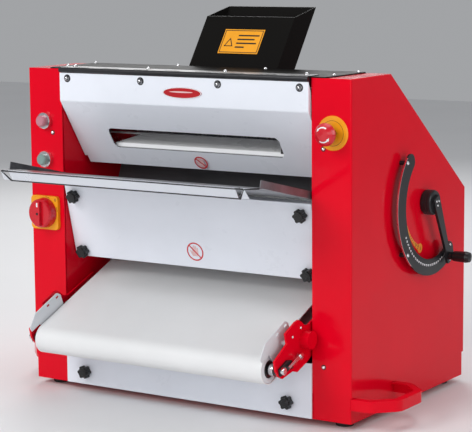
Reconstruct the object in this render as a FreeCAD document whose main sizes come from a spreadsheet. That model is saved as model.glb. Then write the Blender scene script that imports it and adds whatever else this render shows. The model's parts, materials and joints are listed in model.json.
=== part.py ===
"""Dough sheeter: two pairs of rollers between two housings, with a belt that carries the dough out.

Sub-parts are drawn in machine coordinates, in millimetres: x from the middle, positive on the side
of the gap lever, y back from the housings' front faces, z up from the underside of the base pan.
Placements then move them to the object's origin, on the floor under the middle of its outline.
"""
import FreeCAD, Part
import math
import os
import re

import Sketcher

doc = FreeCAD.newDocument("dough_sheeter")
sheet = doc.addObject("Spreadsheet::Sheet", "dims")

DIMENSIONS = [
    ("width", 700, "over both housings"),
    ("depth", 440, "of the housings"),
    ("height", 599, "top of the housings"),
    ("foot_height", 12, "rubber feet"),
    ("housing", 78, "width of one housing"),
    ("seam", 46, "top of the base pan"),
    ("ridge", 143, "depth of the flat top"),
    ("rear_height", 366, "where the slanted back ends"),
    ("skin", 1.5, "sheet thickness"),
    ("frame_skin", 6, "frame plate thickness"),
    ("tray_reach", 196, "tray lip in front of the housings"),
    ("tray_tilt", 13.2, "slope of the tray floor"),
    ("floor_back", 96, "rear end of the tray floor"),
    ("tray_back_z", 368.83, "height of the tray floor at its rear end"),
    ("gland_reach", 18, "cable gland behind the housings"),
    ("roller", 38, "roller radius"),
    ("roller_end", 250, "half length of the roller face"),
    ("journal", 12.5, "roller journal radius"),
    ("running", 0.05, "radial clearance of a running fit"),
    ("nip", 1, "smallest gap between rollers"),
    ("gap_travel", 5, "how far the lever opens the rollers"),
    ("upper_y", 100, "upper front roller"),
    ("upper_z", 535, "upper front roller"),
    ("upper_tilt", 40, "upper rear roller lies below the front one"),
    ("lower_y", 85, "lower front roller"),
    ("lower_z", 315, "lower front roller"),
    ("lower_tilt", 15, "lower rear roller lies above the front one"),
    ("gear_teeth", 18, "on each roller gear"),
    ("belt_teeth_in", 48, "on the gear that drives the belt"),
    ("belt_teeth_out", 36, "on the belt roller's gear"),
    ("hub_y", 274, "gap lever axis"),
    ("hub_z", 357, "gap lever axis"),
    ("hub_radius", 22.5, "gap lever hub"),
    ("lever_plane", 371, "inner face of the lever arm"),
    ("lever_rest", 65.5, "lever below the horizontal at rest"),
    ("index_radius", 115, "ring of index holes"),
    ("index_step", 4, "angle between index holes"),
    ("index_hole", 2.4, "index hole radius"),
    ("quadrant_in", 104, "inner radius of the quadrant"),
    ("quadrant_out", 134, "outer radius of the quadrant"),
    ("quadrant_plane", 362.5, "inner face of the quadrant"),
    ("cam", 20, "eccentric disc radius"),
    ("cam_throw", 3.6, "eccentricity"),
    ("cam_phase", 46, "eccentric's lead at rest"),
    ("nose_y", -100, "belt nose roller"),
    ("nose_z", 107, "belt nose roller"),
    ("belt_tilt", 22.5, "slope of the belt"),
    ("belt_run", 275, "between the belt rollers"),
    ("belt_roller", 24.5, "belt roller radius"),
    ("belt_skin", 1.7, "belt thickness"),
    ("belt_end", 246, "half width of the belt"),
    ("hinge_y", -6, "guard hinge axis"),
    ("hinge_z", 597.5, "guard hinge axis"),
    ("knuckle", 5, "hinge knuckle radius"),
    ("pin", 2, "hinge pin radius"),
    ("guard_bend_z", 540, "where the guard turns inwards"),
    ("guard_foot_y", 74, "lower edge of the guard"),
    ("guard_foot_z", 417, "lower edge of the guard"),
    ("guard_end", 270, "half width of the guard"),
    ("window_end", 187, "half width of the guard's slot"),
    ("window_low", 451, "bottom of the guard's slot"),
    ("window_high", 489, "top of the guard's slot"),
    ("panel_end", 270, "half width of the lower panel"),
    ("tray_end", 268, "half width of the tray"),
    ("panel_top", 381, "top edge of the lower panel"),
    ("panel_foot_z", 241, "bottom edge of the lower panel"),
    ("panel_foot_y", 33.5, "bottom edge of the lower panel"),
    ("chute_end", 98, "half width of the feed chute"),
    ("chute_y", 170.7, "chute front face at the top plate"),
    ("chute_z", 601.1, "chute front face at the top plate"),
    ("chute_lean", 35, "chute leans back"),
    ("chute_depth", 54, "chute front to back"),
    ("chute_front", 109, "front wall above the top plate"),
    ("chute_rear", 167, "rear wall above the top plate"),
    ("chute_below", 50, "chute inside the machine"),
    ("handle_reach", 75, "carrying handle out from the housing"),
    ("handle_run", 160, "carrying handle front to back"),
    ("handle_stagger", 44, "left handle sits further back"),
    ("handle_corner", 40, "carrying handle's cut corners"),
    ("handle_rim", 14, "width of the handle's rim"),
    ("handle_drop", 21, "depth of the handle's lip"),
    ("knob", 12.5, "star knob radius"),
    ("motor_y", 300, "motor axis"),
    ("motor_z", 112, "motor axis"),
    ("motor_radius", 58, "motor body"),
    ("chain", 6, "chain thickness"),
]
ALIASES = {name for name, _, _ in DIMENSIONS}
NODES = []

for row, (name, size, note) in enumerate(DIMENSIONS, start=1):
    sheet.set(f"A{row}", note)
    sheet.set(f"B{row}", str(size))
    sheet.setAlias(f"B{row}", name)
doc.recompute()

X_AXIS = FreeCAD.Vector(1, 0, 0)
Y_AXIS = FreeCAD.Vector(0, 1, 0)
TURN_TO = {
    "X": FreeCAD.Rotation(Y_AXIS, 90),
    "Y": FreeCAD.Rotation(X_AXIS, -90),
    "Z": FreeCAD.Rotation(),
}
ORIGIN_Y = "(depth + gland_reach - tray_reach) / 2"


def formula(text):
    """An expression in which each alias is read from the spreadsheet."""
    return re.sub(
        r"[a-z_][a-z_0-9]*",
        lambda word: "dims." + word.group() if word.group() in ALIASES else word.group(),
        str(text),
    )


def number(text):
    return float(sheet.evalExpression(formula(text)))


def bind(item, prop, text):
    item.setExpression(prop, formula(text))


def place(item, x="0", y="0", z="0"):
    """Moves an item from machine coordinates to the object's own origin."""
    bind(item, "Placement.Base.x", x)
    bind(item, "Placement.Base.y", f"({y}) - {ORIGIN_Y}")
    bind(item, "Placement.Base.z", f"({z}) + foot_height")


def keep(item, label):
    item.Label = label
    NODES.append(item)
    return item


# Bodies, sketches and features


def new_body(name, x="0", y="0", z="0", tilt="0"):
    """A body whose origin is at a point of the machine, turned about x by tilt degrees."""
    body = doc.addObject("PartDesign::Body", name)
    body.AllowCompound = True
    body.Placement.Rotation = FreeCAD.Rotation(X_AXIS, 1)
    bind(body, "Placement.Rotation.Angle", tilt)
    place(body, x, y, z)
    return body


def sketch(body, role, outlines, circles=(), offset="0"):
    """Closed outlines and circles on one of the body's own origin planes."""
    drawing = body.newObject("Sketcher::SketchObject", body.Name + "_sketch")
    plane = next(item for item in body.Origin.OriginFeatures if item.Role == role)
    drawing.AttachmentSupport = (plane, [""])
    drawing.MapMode = "FlatFace"
    bind(drawing, "AttachmentOffset.Base.z", offset)

    def fix(kind, edge, point, text):
        count = drawing.addConstraint(
            Sketcher.Constraint(kind, -1, 1, edge, point, number(text))
        )
        bind(drawing, f"Constraints[{count}]", text)

    for points in outlines:
        first = drawing.GeometryCount
        spots = [FreeCAD.Vector(number(u), number(v), 0) for u, v in points]
        for here, there in zip(spots, spots[1:] + spots[:1]):
            drawing.addGeometry(Part.LineSegment(here, there), False)
        for index, (u, v) in enumerate(points):
            edge = first + index
            before = first + (index - 1) % len(points)
            drawing.addConstraint(Sketcher.Constraint("Coincident", before, 2, edge, 1))
            fix("DistanceX", edge, 1, u)
            fix("DistanceY", edge, 1, v)
    for u, v, radius in circles:
        middle = FreeCAD.Vector(number(u), number(v), 0)
        edge = drawing.GeometryCount
        drawing.addGeometry(
            Part.Circle(middle, FreeCAD.Vector(0, 0, 1), number(radius)), False
        )
        fix("DistanceX", edge, 3, u)
        fix("DistanceY", edge, 3, v)
        count = drawing.addConstraint(
            Sketcher.Constraint("Radius", edge, number(radius))
        )
        bind(drawing, f"Constraints[{count}]", radius)
    return drawing


PLANES = {"X": "YZ_Plane", "Y": "XZ_Plane", "Z": "XY_Plane"}


def add(body, axis, start, end, outlines, circles=()):
    """Pads outlines along an axis from start to end."""
    offset = f"-({end})" if axis == "Y" else start
    pad = body.newObject("PartDesign::Pad", body.Name + "_pad")
    pad.Profile = sketch(body, PLANES[axis], outlines, circles, offset)
    bind(pad, "Length", f"({end}) - ({start})")
    doc.recompute()
    return pad


def remove(body, axis, start, end, outlines, circles=()):
    """Pockets outlines along an axis from start to end, and makes sure that they cut."""
    before = body.Tip.Shape.Volume
    offset = f"-({start})" if axis == "Y" else end
    pocket = body.newObject("PartDesign::Pocket", body.Name + "_pocket")
    pocket.Profile = sketch(body, PLANES[axis], outlines, circles, offset)
    bind(pocket, "Length", f"({end}) - ({start})")
    doc.recompute()
    if pocket.Shape.Volume > before - 0.01:
        raise RuntimeError(f"{body.Name}: a pocket cuts nothing")
    return pocket


def fillet(body, radius, chosen):
    """Rounds the edges whose middle point and direction the test accepts."""
    base = body.Tip
    names = []
    for index, edge in enumerate(base.Shape.Edges, start=1):
        run = edge.Vertexes[-1].Point - edge.Vertexes[0].Point
        if run.Length > 0.1 and chosen(edge.CenterOfMass, run.normalize()):
            names.append(f"Edge{index}")
    rounding = body.newObject("PartDesign::Fillet", body.Name + "_fillet")
    rounding.Base = (base, names)
    bind(rounding, "Radius", radius)
    doc.recompute()
    return rounding


def turned(name, axis, x, y, z, profile, tilt="0"):
    """A solid of revolution; its half profile is a list of (along the axis, radius)."""
    body = new_body(name, x, y, z, tilt)
    along_up = axis == "Z"
    points = [(r, a) if along_up else (a, r) for a, r in profile]
    spin = body.newObject("PartDesign::Revolution", name + "_revolution")
    drawing = sketch(body, "YZ_Plane" if axis == "Y" else "XZ_Plane", [points])
    spin.Profile = drawing
    spin.ReferenceAxis = (drawing, ["V_Axis" if along_up else "H_Axis"])
    spin.Angle = 360
    doc.recompute()
    return body


def rectangle(u0, v0, u1, v1):
    return [(u0, v0), (u1, v0), (u1, v1), (u0, v1)]


# Primitives and groups


def cylinder(name, axis, x, y, z, radius, length):
    """A cylinder that starts at a point and runs along an axis."""
    item = doc.addObject("Part::Cylinder", name)
    item.Placement.Rotation = TURN_TO[axis]
    place(item, x, y, z)
    bind(item, "Radius", radius)
    bind(item, "Height", length)
    return item


def box(name, x0, y0, z0, x1, y1, z1):
    item = doc.addObject("Part::Box", name)
    place(item, x0, y0, z0)
    bind(item, "Length", f"({x1}) - ({x0})")
    bind(item, "Width", f"({y1}) - ({y0})")
    bind(item, "Height", f"({z1}) - ({z0})")
    return item


def fuse(name, items):
    joined = doc.addObject("Part::MultiFuse", name)
    joined.Shapes = items
    doc.recompute()
    return joined


def cut(name, base, tools):
    result = doc.addObject("Part::Cut", name)
    result.Base = base
    result.Tool = tools[0] if len(tools) == 1 else fuse(name + "_tools", tools)
    doc.recompute()
    return result


def together(name, items):
    """Separate solids that share one node."""
    group = doc.addObject("Part::Compound", name)
    group.Links = items
    doc.recompute()
    return group


def mirrored(item):
    """The same item on the machine's other side."""
    image = doc.addObject("Part::Mirroring", item.Name + "_mirror")
    image.Source = item
    image.Normal = X_AXIS
    image.Base = FreeCAD.Vector(0, 0, 0)
    doc.recompute()
    return image


def both_sides(name, item):
    return together(name, [item, mirrored(item)])


SHANK = 0.45


def dome_screw(name, x, y, z, radius=5.5, tilt=0):
    """A domed head on a short shank, facing the front; tilt 90 makes it face up."""
    head = doc.addObject("Part::Sphere", name + "_head")
    head.Angle1 = 0
    head.Radius = radius
    shank = doc.addObject("Part::Cylinder", name + "_shank")
    shank.Radius = radius * SHANK
    shank.Height = radius * 1.2
    facing = FreeCAD.Rotation(X_AXIS, 90 - tilt)
    head.Placement.Rotation = facing
    shank.Placement.Rotation = FreeCAD.Rotation(X_AXIS, 270 - tilt)
    place(head, x, y, z)
    place(shank, x, y, z)
    return fuse(name, [head, shank])


# Positions worked out from the driving dimensions

SPACING = "(2 * roller + nip)"
UPPER_REAR_Y = f"(upper_y + {SPACING} * cos(upper_tilt))"
UPPER_REAR_Z = f"(upper_z - {SPACING} * sin(upper_tilt))"
LOWER_REAR_Y = f"(lower_y + {SPACING} * cos(lower_tilt))"
LOWER_REAR_Z = f"(lower_z + {SPACING} * sin(lower_tilt))"
DRIVE_Y = "(nose_y + belt_run * cos(belt_tilt))"
DRIVE_Z = "(nose_z + belt_run * sin(belt_tilt))"
INNER = "(width / 2 - housing)"
FRAME_OUT = f"({INNER} + frame_skin)"
SIDE = "(width / 2)"
FLOOR = "tan(tray_tilt)"
PANEL_TILT = "(atan(panel_foot_y / (panel_top - panel_foot_z)) / 1 deg)"


# Casings


def housing_outline(inset, bottom):
    slope = "((height - rear_height) / (depth - ridge))"
    drop = f"({inset} * (sqrt(1 + {slope} ^ 2) - {slope}))"
    return [
        (inset, bottom),
        (inset, f"height - {inset}"),
        (f"ridge - {inset} + {drop}", f"height - {inset}"),
        (f"depth - {inset}", f"rear_height - {drop}"),
        (f"depth - {inset}", bottom),
    ]


def side_cover(name, holes, lever_hole=False):
    """A housing's outer shell, open towards the frame plate and the base pan."""
    body = new_body(name)
    add(body, "X", INNER, SIDE, [housing_outline("0", "seam")])
    outer = number(SIDE)
    fillet(body, "3", lambda mid, run: abs(mid.x - outer) < 0.1 and mid.z > number("seam") + 1)
    inner = f"{SIDE} - skin"
    remove(body, "X", f"{INNER} - 1", inner, [housing_outline("skin", "seam - 1")])
    remove(body, "Y", "-1", "skin + 1", [], [(f"{x}", z, r) for x, z, r in holes])
    if lever_hole:
        remove(body, "X", f"{SIDE} - 4", f"{SIDE} + 1", [], [("hub_y", "hub_z", "journal + 1")])
    return body


keep(
    side_cover("cover_right", [("314", "506", "12")], lever_hole=True),
    "side_cover_right",
)
left_holes = [("311", "500", "11.2"), ("311", "427", "11.2"), ("314", "325", "9")]
keep(mirrored(side_cover("cover_left", left_holes)), "side_cover_left")

pan = new_body("pan")
add(pan, "Z", "0", "seam", [rectangle("2 - width / 2", "2", "width / 2 - 2", "depth - 2")])
fillet(pan, "3", lambda mid, run: abs(run.z) > 0.9)
remove(
    pan,
    "Z",
    "2",
    "seam + 1",
    [rectangle("4 - width / 2", "4", "width / 2 - 4", "depth - 4")],
)
remove(pan, "Y", "1", "5", [], [(x, "26", "4.6") for x in ("-224", "224")])
keep(pan, "base_pan")

feet = []
for x in ("-width / 2 + 34", "width / 2 - 34"):
    for y in ("38", "depth - 38"):
        profile = [("-foot_height", "0"), ("-foot_height", "16"), ("-3", "19"), ("0", "19"), ("0", "0")]
        feet.append(turned(f"foot_{len(feet)}", "Z", x, y, "0", profile))
keep(together("feet", feet), "rubber_feet")


def frame_plate(name, holes):
    """A steel side plate that carries the bearings, with its bores and shaft holes."""
    body = new_body(name)
    add(body, "X", INNER, FRAME_OUT, [housing_outline("4.5", "2")])
    remove(body, "X", f"{INNER} - 1", f"{FRAME_OUT} + 1", [], holes)
    return body


PLATE_HOLES = [
    ("upper_y", "upper_z", "20"),
    ("lower_y", "lower_z", "20"),
    (f"{UPPER_REAR_Y} + 2", f"{UPPER_REAR_Z} - 2", "20"),
    (f"{LOWER_REAR_Y} + 2", LOWER_REAR_Z, "20"),
    ("hub_y", "hub_z", "13"),
    (DRIVE_Y, DRIVE_Z, "14"),
]
right_plate = frame_plate("plate_right", PLATE_HOLES)
left_plate = frame_plate("plate_left", PLATE_HOLES + [("motor_y", "motor_z", "14")])
keep(together("plates", [right_plate, mirrored(left_plate)]), "frame_plates")

tie_places = [("22", "560"), ("22", "66"), ("330", "425"), ("424", "72")]
ties = [
    cylinder(f"tie_{index}", "X", f"-{INNER}", y, z, "7", f"2 * {INNER}")
    for index, (y, z) in enumerate(tie_places)
]

top = new_body("top")
add(top, "Z", "height", "height + 2", [rectangle("-300", "0", "300", "ridge + 1")])
fillet(top, "6", lambda mid, run: abs(run.z) > 0.9)
keep(top, "top_plate")

top_screw_places = [("-291", "45"), ("291", "45")] + [(x, "131") for x in ("-291", "-97", "97", "291")]
top_screws = [
    dome_screw(f"top_screw_{index}", x, y, "height + 2", radius=3.5, tilt=90)
    for index, (x, y) in enumerate(top_screw_places)
]

rear = new_body("rear")
rear_end = f"{INNER} - 1"
add(
    rear,
    "X",
    f"-({rear_end})",
    rear_end,
    [
        [
            ("ridge + 2", "height - 1.6"),
            ("depth", "rear_height"),
            ("depth", "seam + 1"),
            ("depth - skin", "seam + 1"),
            ("depth - skin", "rear_height - 0.75"),
            ("ridge + 2", "height - 3.5"),
        ]
    ],
)
remove(
    rear,
    "Z",
    "rear_height",
    "height",
    [rectangle("-chute_end - 3", "152", "chute_end + 3", "224")],
)
louvres = [
    rectangle(f"{x}", f"{z}", f"{x + 110}", f"{z + 6}")
    for x in (-190, -55, 80)
    for z in range(220, 330, 18)
]
remove(rear, "Y", "depth - 4", "depth + 1", louvres, [("-200", "90", "9")])
keep(rear, "rear_cover")

gland_profile = [
    ("-14", "3.6"),
    ("gland_reach", "3.6"),
    ("gland_reach", "7"),
    ("6", "11"),
    ("0", "11"),
    ("0", "8.9"),
    ("-14", "8.9"),
]
keep(turned("gland", "Y", "-200", "depth", "90", gland_profile), "cable_gland")

base_panel = new_body("base_panel")
base_end = f"{INNER} - 0.5"
add(base_panel, "Z", "1", "100", [rectangle(f"-({base_end})", "-3", base_end, "12")])
remove(base_panel, "Z", "0", "101", [rectangle(f"-({base_end}) + skin", "-1.5", f"{base_end} - skin", "13")])
fillet(base_panel, "1.4", lambda mid, run: abs(run.z) > 0.9 and mid.y < -2.9)
remove(base_panel, "Y", "-4", "0", [], [(x, "26", "4.6") for x in ("-224", "224")])
base_cut = rectangle(f"-({base_end}) - 1", "0", f"{base_end} + 1", "13")
remove(base_panel, "Z", "0", "seam + 1", [base_cut])
keep(base_panel, "base_front_panel")

panel = new_body("panel", y="0", z="panel_top", tilt=PANEL_TILT)
panel_drop = "((panel_top - panel_foot_z) / cos(" + PANEL_TILT + "))"
add(
    panel,
    "X",
    "-panel_end",
    "panel_end",
    [
        [
            ("0", "0"),
            ("14", "0"),
            ("14", "-skin"),
            ("skin", "-skin"),
            ("skin", f"skin - {panel_drop}"),
            ("16", f"skin - {panel_drop}"),
            ("16", f"-{panel_drop}"),
            ("0", f"-{panel_drop}"),
        ]
    ],
)
fillet(panel, "1.4", lambda mid, run: abs(run.x) > 0.9 and abs(mid.y) < 0.01)
knob_low = "-132"
knob_high = "-21"
stud_holes = [(x, z, "4.6") for x in ("-249", "249") for z in (knob_low, knob_high)]
remove(panel, "Y", "-1", "skin + 1", [], stud_holes)
keep(panel, "lower_front_panel")

supports = []
for z in (knob_low, knob_high):
    lug = new_body(f"panel_lug_{len(supports)}", y="0", z="panel_top", tilt=PANEL_TILT)
    outline = rectangle("240", f"{z} - 9", INNER, f"{z} + 9")
    add(lug, "Y", "4", "16", [outline], [("249", z, "4 + running")])
    supports.append(lug)
base_lug = new_body("base_lug")
add(base_lug, "Y", "4", "14", [rectangle("215", "17", "233", "35")], [("224", "26", "4 + running")])
ledge = new_body("tray_ledge")
ledge_start = "17"
ledge_top = f"tray_back_z + (floor_back - {ledge_start}) * {FLOOR} - 1.4"
add(
    ledge,
    "X",
    f"{INNER} - 12",
    INNER,
    [
        [
            (ledge_start, ledge_top),
            ("floor_back - 4", f"tray_back_z + 4 * {FLOOR} - 1.4"),
            ("floor_back - 4", f"tray_back_z + 4 * {FLOOR} - 6"),
            (ledge_start, f"{ledge_top} - 4.6"),
        ]
    ],
)
supports += [base_lug, ledge]
keep(together("members", ties + [both_sides(item.Name + "_pair", item) for item in supports]), "frame_members")


def handle_outline(inset):
    cut_back = f"handle_corner + 0.414 * ({inset})"
    reach = f"{SIDE} - 2 + handle_reach + 2 - ({inset})"
    shoulder = f"{SIDE} + handle_reach - handle_corner - 0.414 * ({inset})"
    front = f"2 + ({inset})"
    back = f"2 + handle_run - ({inset})"
    return [
        (f"{SIDE} - 2", front),
        (shoulder, front),
        (reach, f"2 + {cut_back}"),
        (reach, f"2 + handle_run - ({cut_back})"),
        (shoulder, back),
        (f"{SIDE} - 2", back),
    ]


def carry_handle(name, back):
    """A flat loop with a turned-down lip; back is how far behind the right one it sits."""
    handle = new_body(name, y=back)
    add(handle, "Z", "seam - handle_drop", "seam - 1", [handle_outline("0")])
    fillet(handle, "22", lambda mid, run: abs(run.z) > 0.9 and mid.x > number(SIDE) + 1)
    remove(handle, "Z", "seam - handle_drop - 1", "seam - 4", [handle_outline("3")])
    remove(handle, "Z", "seam - 6", "seam", [handle_outline("handle_rim")])
    return handle


handles = [carry_handle("handle_right", "0"), mirrored(carry_handle("handle_left", "handle_stagger"))]
keep(together("handles", handles), "carry_handles")


# Guard and its hinge

guard = new_body("guard")
foot_y = "guard_foot_y"
foot_z = "guard_foot_z"
add(
    guard,
    "X",
    "-guard_end",
    "guard_end",
    [
        [
            ("hinge_y - 1", "hinge_z - 5.6"),
            ("hinge_y - 1", "guard_bend_z"),
            (foot_y, foot_z),
            (f"{foot_y} + skin", f"{foot_z} + 1"),
            ("hinge_y + 0.5", "guard_bend_z + 0.4"),
            ("hinge_y + 0.5", "hinge_z - 5.6"),
        ]
    ],
)
fillet(guard, "6", lambda mid, run: abs(run.x) > 0.9 and abs(mid.z - number("guard_bend_z")) < 1 and mid.y < -6)
window_corner = "9"
window_cuts = [
    rectangle(f"{window_corner} - window_end", "window_low", f"window_end - {window_corner}", "window_high"),
    rectangle("-window_end", f"window_low + {window_corner}", "window_end", f"window_high - {window_corner}"),
]
for opening in window_cuts:
    remove(guard, "Y", "hinge_y + 8", "guard_foot_y", [opening])
window_rounds = [
    (f"{side} * (window_end - {window_corner})", z, window_corner)
    for side in (-1, 1)
    for z in (f"window_low + {window_corner}", f"window_high - {window_corner}")
]
remove(guard, "Y", "hinge_y + 8", "guard_foot_y", [], window_rounds)
for side in ("-1", "1"):
    flange = [
        ("hinge_y", "hinge_z - 8"),
        ("hinge_y", "guard_bend_z"),
        (f"{foot_y} + 0.5", f"{foot_z} + 1"),
        (f"{foot_y} + 9", f"{foot_z} + 9"),
        ("hinge_y + 12", "guard_bend_z + 2"),
        ("hinge_y + 6", "hinge_z - 20"),
    ]
    ends = sorted((f"{side} * guard_end", f"{side} * (guard_end - skin)"), key=number)
    add(guard, "X", ends[0], ends[1], [flange])
    corner = [
        (f"{side} * (tray_end - 4)", "guard_foot_z - 2"),
        (f"{side} * (tray_end - 4)", "guard_foot_z + 13"),
        (f"{side} * (guard_end + 1)", "guard_foot_z + 13"),
        (f"{side} * (guard_end + 1)", "guard_foot_z - 2"),
    ]
    remove(guard, "Y", "guard_foot_y - 15", "guard_foot_y + 10", [corner])
keep(guard, "upper_guard")

KNUCKLES = 16
knuckle_run = f"(2 * guard_end / {KNUCKLES})"


def hinge_leaf(name, first, leaf_box, tab_box, holes):
    """A piano hinge leaf with every second knuckle and its screw holes."""
    pieces = [leaf_box]
    for index in range(first, KNUCKLES, 2):
        start = f"-guard_end + {index} * {knuckle_run} + 0.2"
        end = f"-guard_end + {index + 1} * {knuckle_run} - 0.2"
        pieces.append(
            cylinder(f"{name}_knuckle_{index}", "X", start, "hinge_y", "hinge_z", "knuckle", f"{end} - ({start})")
        )
        pieces.append(tab_box(f"{name}_tab_{index}", start, end))
    bore = cylinder(f"{name}_bore", "X", "-width", "hinge_y", "hinge_z", "pin + running", "2 * width")
    return cut(name, fuse(name + "_blank", pieces), [bore] + holes)


hinge_places = ("-252", "-84", "84", "252")
LEAF_SCREW = 4
GUARD_SCREW = 5.5
leaf_holes = [
    cylinder(f"leaf_hole_{x}", "Z", x, "18", "height", f"{LEAF_SCREW * SHANK}", "6")
    for x in hinge_places
]
guard_holes = [
    cylinder(f"guard_hole_{x}", "Y", x, "hinge_y - 8", "hinge_z - 15.5", f"{GUARD_SCREW * SHANK}", "12")
    for x in hinge_places
]
fixed_leaf = hinge_leaf(
    "fixed_leaf",
    0,
    box("fixed_leaf_plate", "-guard_end", "0", "height + 2", "guard_end", "28", "height + 3.5"),
    lambda name, x0, x1: box(name, x0, "hinge_y", "height + 2", x1, "0", "height + 3.5"),
    leaf_holes,
)
moving_leaf = hinge_leaf(
    "moving_leaf",
    1,
    box(
        "moving_leaf_plate",
        "-guard_end + 2",
        "hinge_y + 0.5",
        "height - 29",
        "guard_end - 2",
        "hinge_y + 2",
        "hinge_z - 5.6",
    ),
    lambda name, x0, x1: box(name, x0, "hinge_y + 0.5", "hinge_z - 5.6", x1, "hinge_y + 2", "hinge_z - 3"),
    guard_holes,
)
hinge_pin = cylinder("pin", "X", "-guard_end", "hinge_y", "hinge_z", "pin", "2 * guard_end")
keep(together("fixed_leaf_and_pin", [fixed_leaf, hinge_pin]), "hinge_fixed_leaf")

leaf_screws = [
    dome_screw(f"leaf_screw_{x}", x, "18", "height + 3.5", radius=LEAF_SCREW, tilt=90)
    for x in hinge_places
]
guard_screws = [
    dome_screw(f"guard_screw_{x}", x, "hinge_y - 1", "hinge_z - 15.5", radius=GUARD_SCREW)
    for x in hinge_places
]
keep(together("moving_leaf_and_screws", [moving_leaf] + guard_screws), "hinge_moving_leaf")


badge = new_body("badge", x="8", y="hinge_y - 1", z="564")
badge_half = 42
badge_rise = 10
badge_curve = [
    (f"{badge_half} * cos({angle})", f"{badge_rise} * sin({angle})") for angle in range(0, 360, 15)
]
add(badge, "Y", "-1.2", "0", [badge_curve])
keep(badge, "guard_badge")


# Feed chute

chute = new_body("chute", y="chute_y", z="chute_z", tilt="-chute_lean")
side_outline = [
    ("0", "-chute_below"),
    ("0", "chute_front"),
    ("chute_depth", "chute_rear"),
    ("chute_depth", "-chute_below"),
]
add(chute, "X", "-chute_end", "chute_end", [side_outline])
flange_outline = [
    ("-12", "-18"),
    ("-12", "-16.4"),
    ("chute_depth + 12", "-20.6"),
    ("chute_depth + 12", "-22.2"),
]
add(chute, "X", "-chute_end - 12", "chute_end + 12", [flange_outline])
remove(
    chute,
    "Z",
    "-chute_below - 1",
    "chute_rear + 1",
    [rectangle("-chute_end + skin", "skin", "chute_end - skin", "chute_depth - skin")],
)
keep(chute, "feed_chute")

chute_sign = new_body("chute_sign", y="chute_y", z="chute_z", tilt="-chute_lean")
add(chute_sign, "Y", "-0.8", "0", [rectangle("-44", "27", "44", "80")])
keep(chute_sign, "chute_plate")


# Tray

tray = new_body("tray")
strip_y = "-152"
tray_strip_z = f"(tray_back_z + (floor_back - {strip_y}) * {FLOOR})"
add(
    tray,
    "X",
    "-tray_end",
    "tray_end",
    [
        [
            ("12 - tray_reach", "411.5"),
            ("-tray_reach", "430.2"),
            (strip_y, tray_strip_z),
            ("floor_back", "tray_back_z"),
            ("floor_back", "tray_back_z - 1.2"),
            (strip_y, f"{tray_strip_z} - 1.3"),
            ("2 - tray_reach", "428.7"),
            ("13.4 - tray_reach", "411.9"),
        ]
    ],
)
for side in ("-1", "1"):
    ends = sorted((f"{side} * tray_end", f"{side} * (tray_end - 1.2)"), key=number)
    wall = [
        ("-160", "427.6"),
        ("-157", "440.6"),
        ("floor_back", f"440.6 - (floor_back + 157) * {FLOOR}"),
        ("floor_back", "tray_back_z - 0.6"),
        (strip_y, "426.4"),
    ]
    add(tray, "X", ends[0], ends[1], [wall])
    corner = [
        (f"{side} * tray_end + {side}", "-162"),
        (f"{side} * tray_end", "-162"),
        (f"{side} * 258", "-tray_reach + 0.1"),
        (f"{side} * 241", "-tray_reach + 15"),
        (f"{side} * 241", "-tray_reach - 1"),
        (f"{side} * tray_end + {side}", "-tray_reach - 1"),
    ]
    remove(tray, "Z", "400", "445", [corner])
keep(tray, "catch_tray")

exit_body = new_body("exit_sheet")
exit_outline = [
    ("58.5", "459.5"),
    ("112", "474"),
    ("113.4", "473.2"),
    ("61", "457.8"),
    ("61", "448"),
    ("73", "431"),
    ("71.8", "430"),
    ("59.5", "447.4"),
]
exit_end = "263"
add(exit_body, "X", f"-{exit_end}", exit_end, [exit_outline])
slants = [
    [
        (f"{side} * {front}", "58"),
        (f"{side} * ({front} - 34)", "115"),
        (f"{side} * ({exit_end} + 1)", "115"),
        (f"{side} * ({exit_end} + 1)", "58"),
    ]
    for side, front in (("-1", "191"), ("1", "174"))
]
remove(exit_body, "Z", "457", "475", slants)
exit_ears = [("106", "472.4"), ("112", "474"), ("112.4", "472.6"), ("106.4", "471")]
add(exit_body, "X", f"-{INNER}", INNER, [exit_ears])
infeed_body = new_body("infeed_sheet")
infeed_outline = [("205", "450"), ("206.5", "449.4"), ("173.5", "375.4"), ("172", "376")]
add(infeed_body, "X", f"-{INNER}", INNER, [infeed_outline])
keep(together("dough_plates", [exit_body, infeed_body]), "exit_plate")


# Rollers, bearings, carriages and gears


def roller(name, y, z, left, right):
    """A roller with journals that reach out to x = -left and x = right."""
    return turned(
        name,
        "X",
        "0",
        y,
        z,
        [
            (f"-({left})", "0"),
            (f"-({left})", "journal"),
            ("-roller_end", "journal"),
            ("-roller_end", "roller"),
            ("roller_end", "roller"),
            ("roller_end", "journal"),
            (right, "journal"),
            (right, "0"),
        ],
    )


BEARING_OUT = f"({FRAME_OUT} + 12)"
CAM_A = (f"{BEARING_OUT} + 0.5", f"{BEARING_OUT} + 5.5")
CAM_B = (f"{BEARING_OUT} + 6", f"{BEARING_OUT} + 11")
GEAR_IN = f"({FRAME_OUT} + 25)"
GEAR_OUT = f"({FRAME_OUT} + 37)"
CHAIN_ONE = f"({FRAME_OUT} + 40)"
CHAIN_TWO = f"({FRAME_OUT} + 49)"
BELT_GEAR = f"({FRAME_OUT} + 58)"
LINE_WIDTH = "6"
keep(roller("upper_front", "upper_y", "upper_z", f"{CHAIN_TWO} + 6", f"{BEARING_OUT} + 2"), "upper_front_roller")
keep(roller("lower_front", "lower_y", "lower_z", f"{BELT_GEAR} + 6", f"{BEARING_OUT} + 2"), "lower_front_roller")


def bearing(name, y, z, bore="journal"):
    hole = f"{bore} + running"
    return turned(
        name,
        "X",
        "0",
        y,
        z,
        [
            (FRAME_OUT, hole),
            (FRAME_OUT, "32"),
            (f"{FRAME_OUT} + 5", "32"),
            (f"{FRAME_OUT} + 5", "24"),
            (BEARING_OUT, "22"),
            (BEARING_OUT, hole),
        ],
    )


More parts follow.
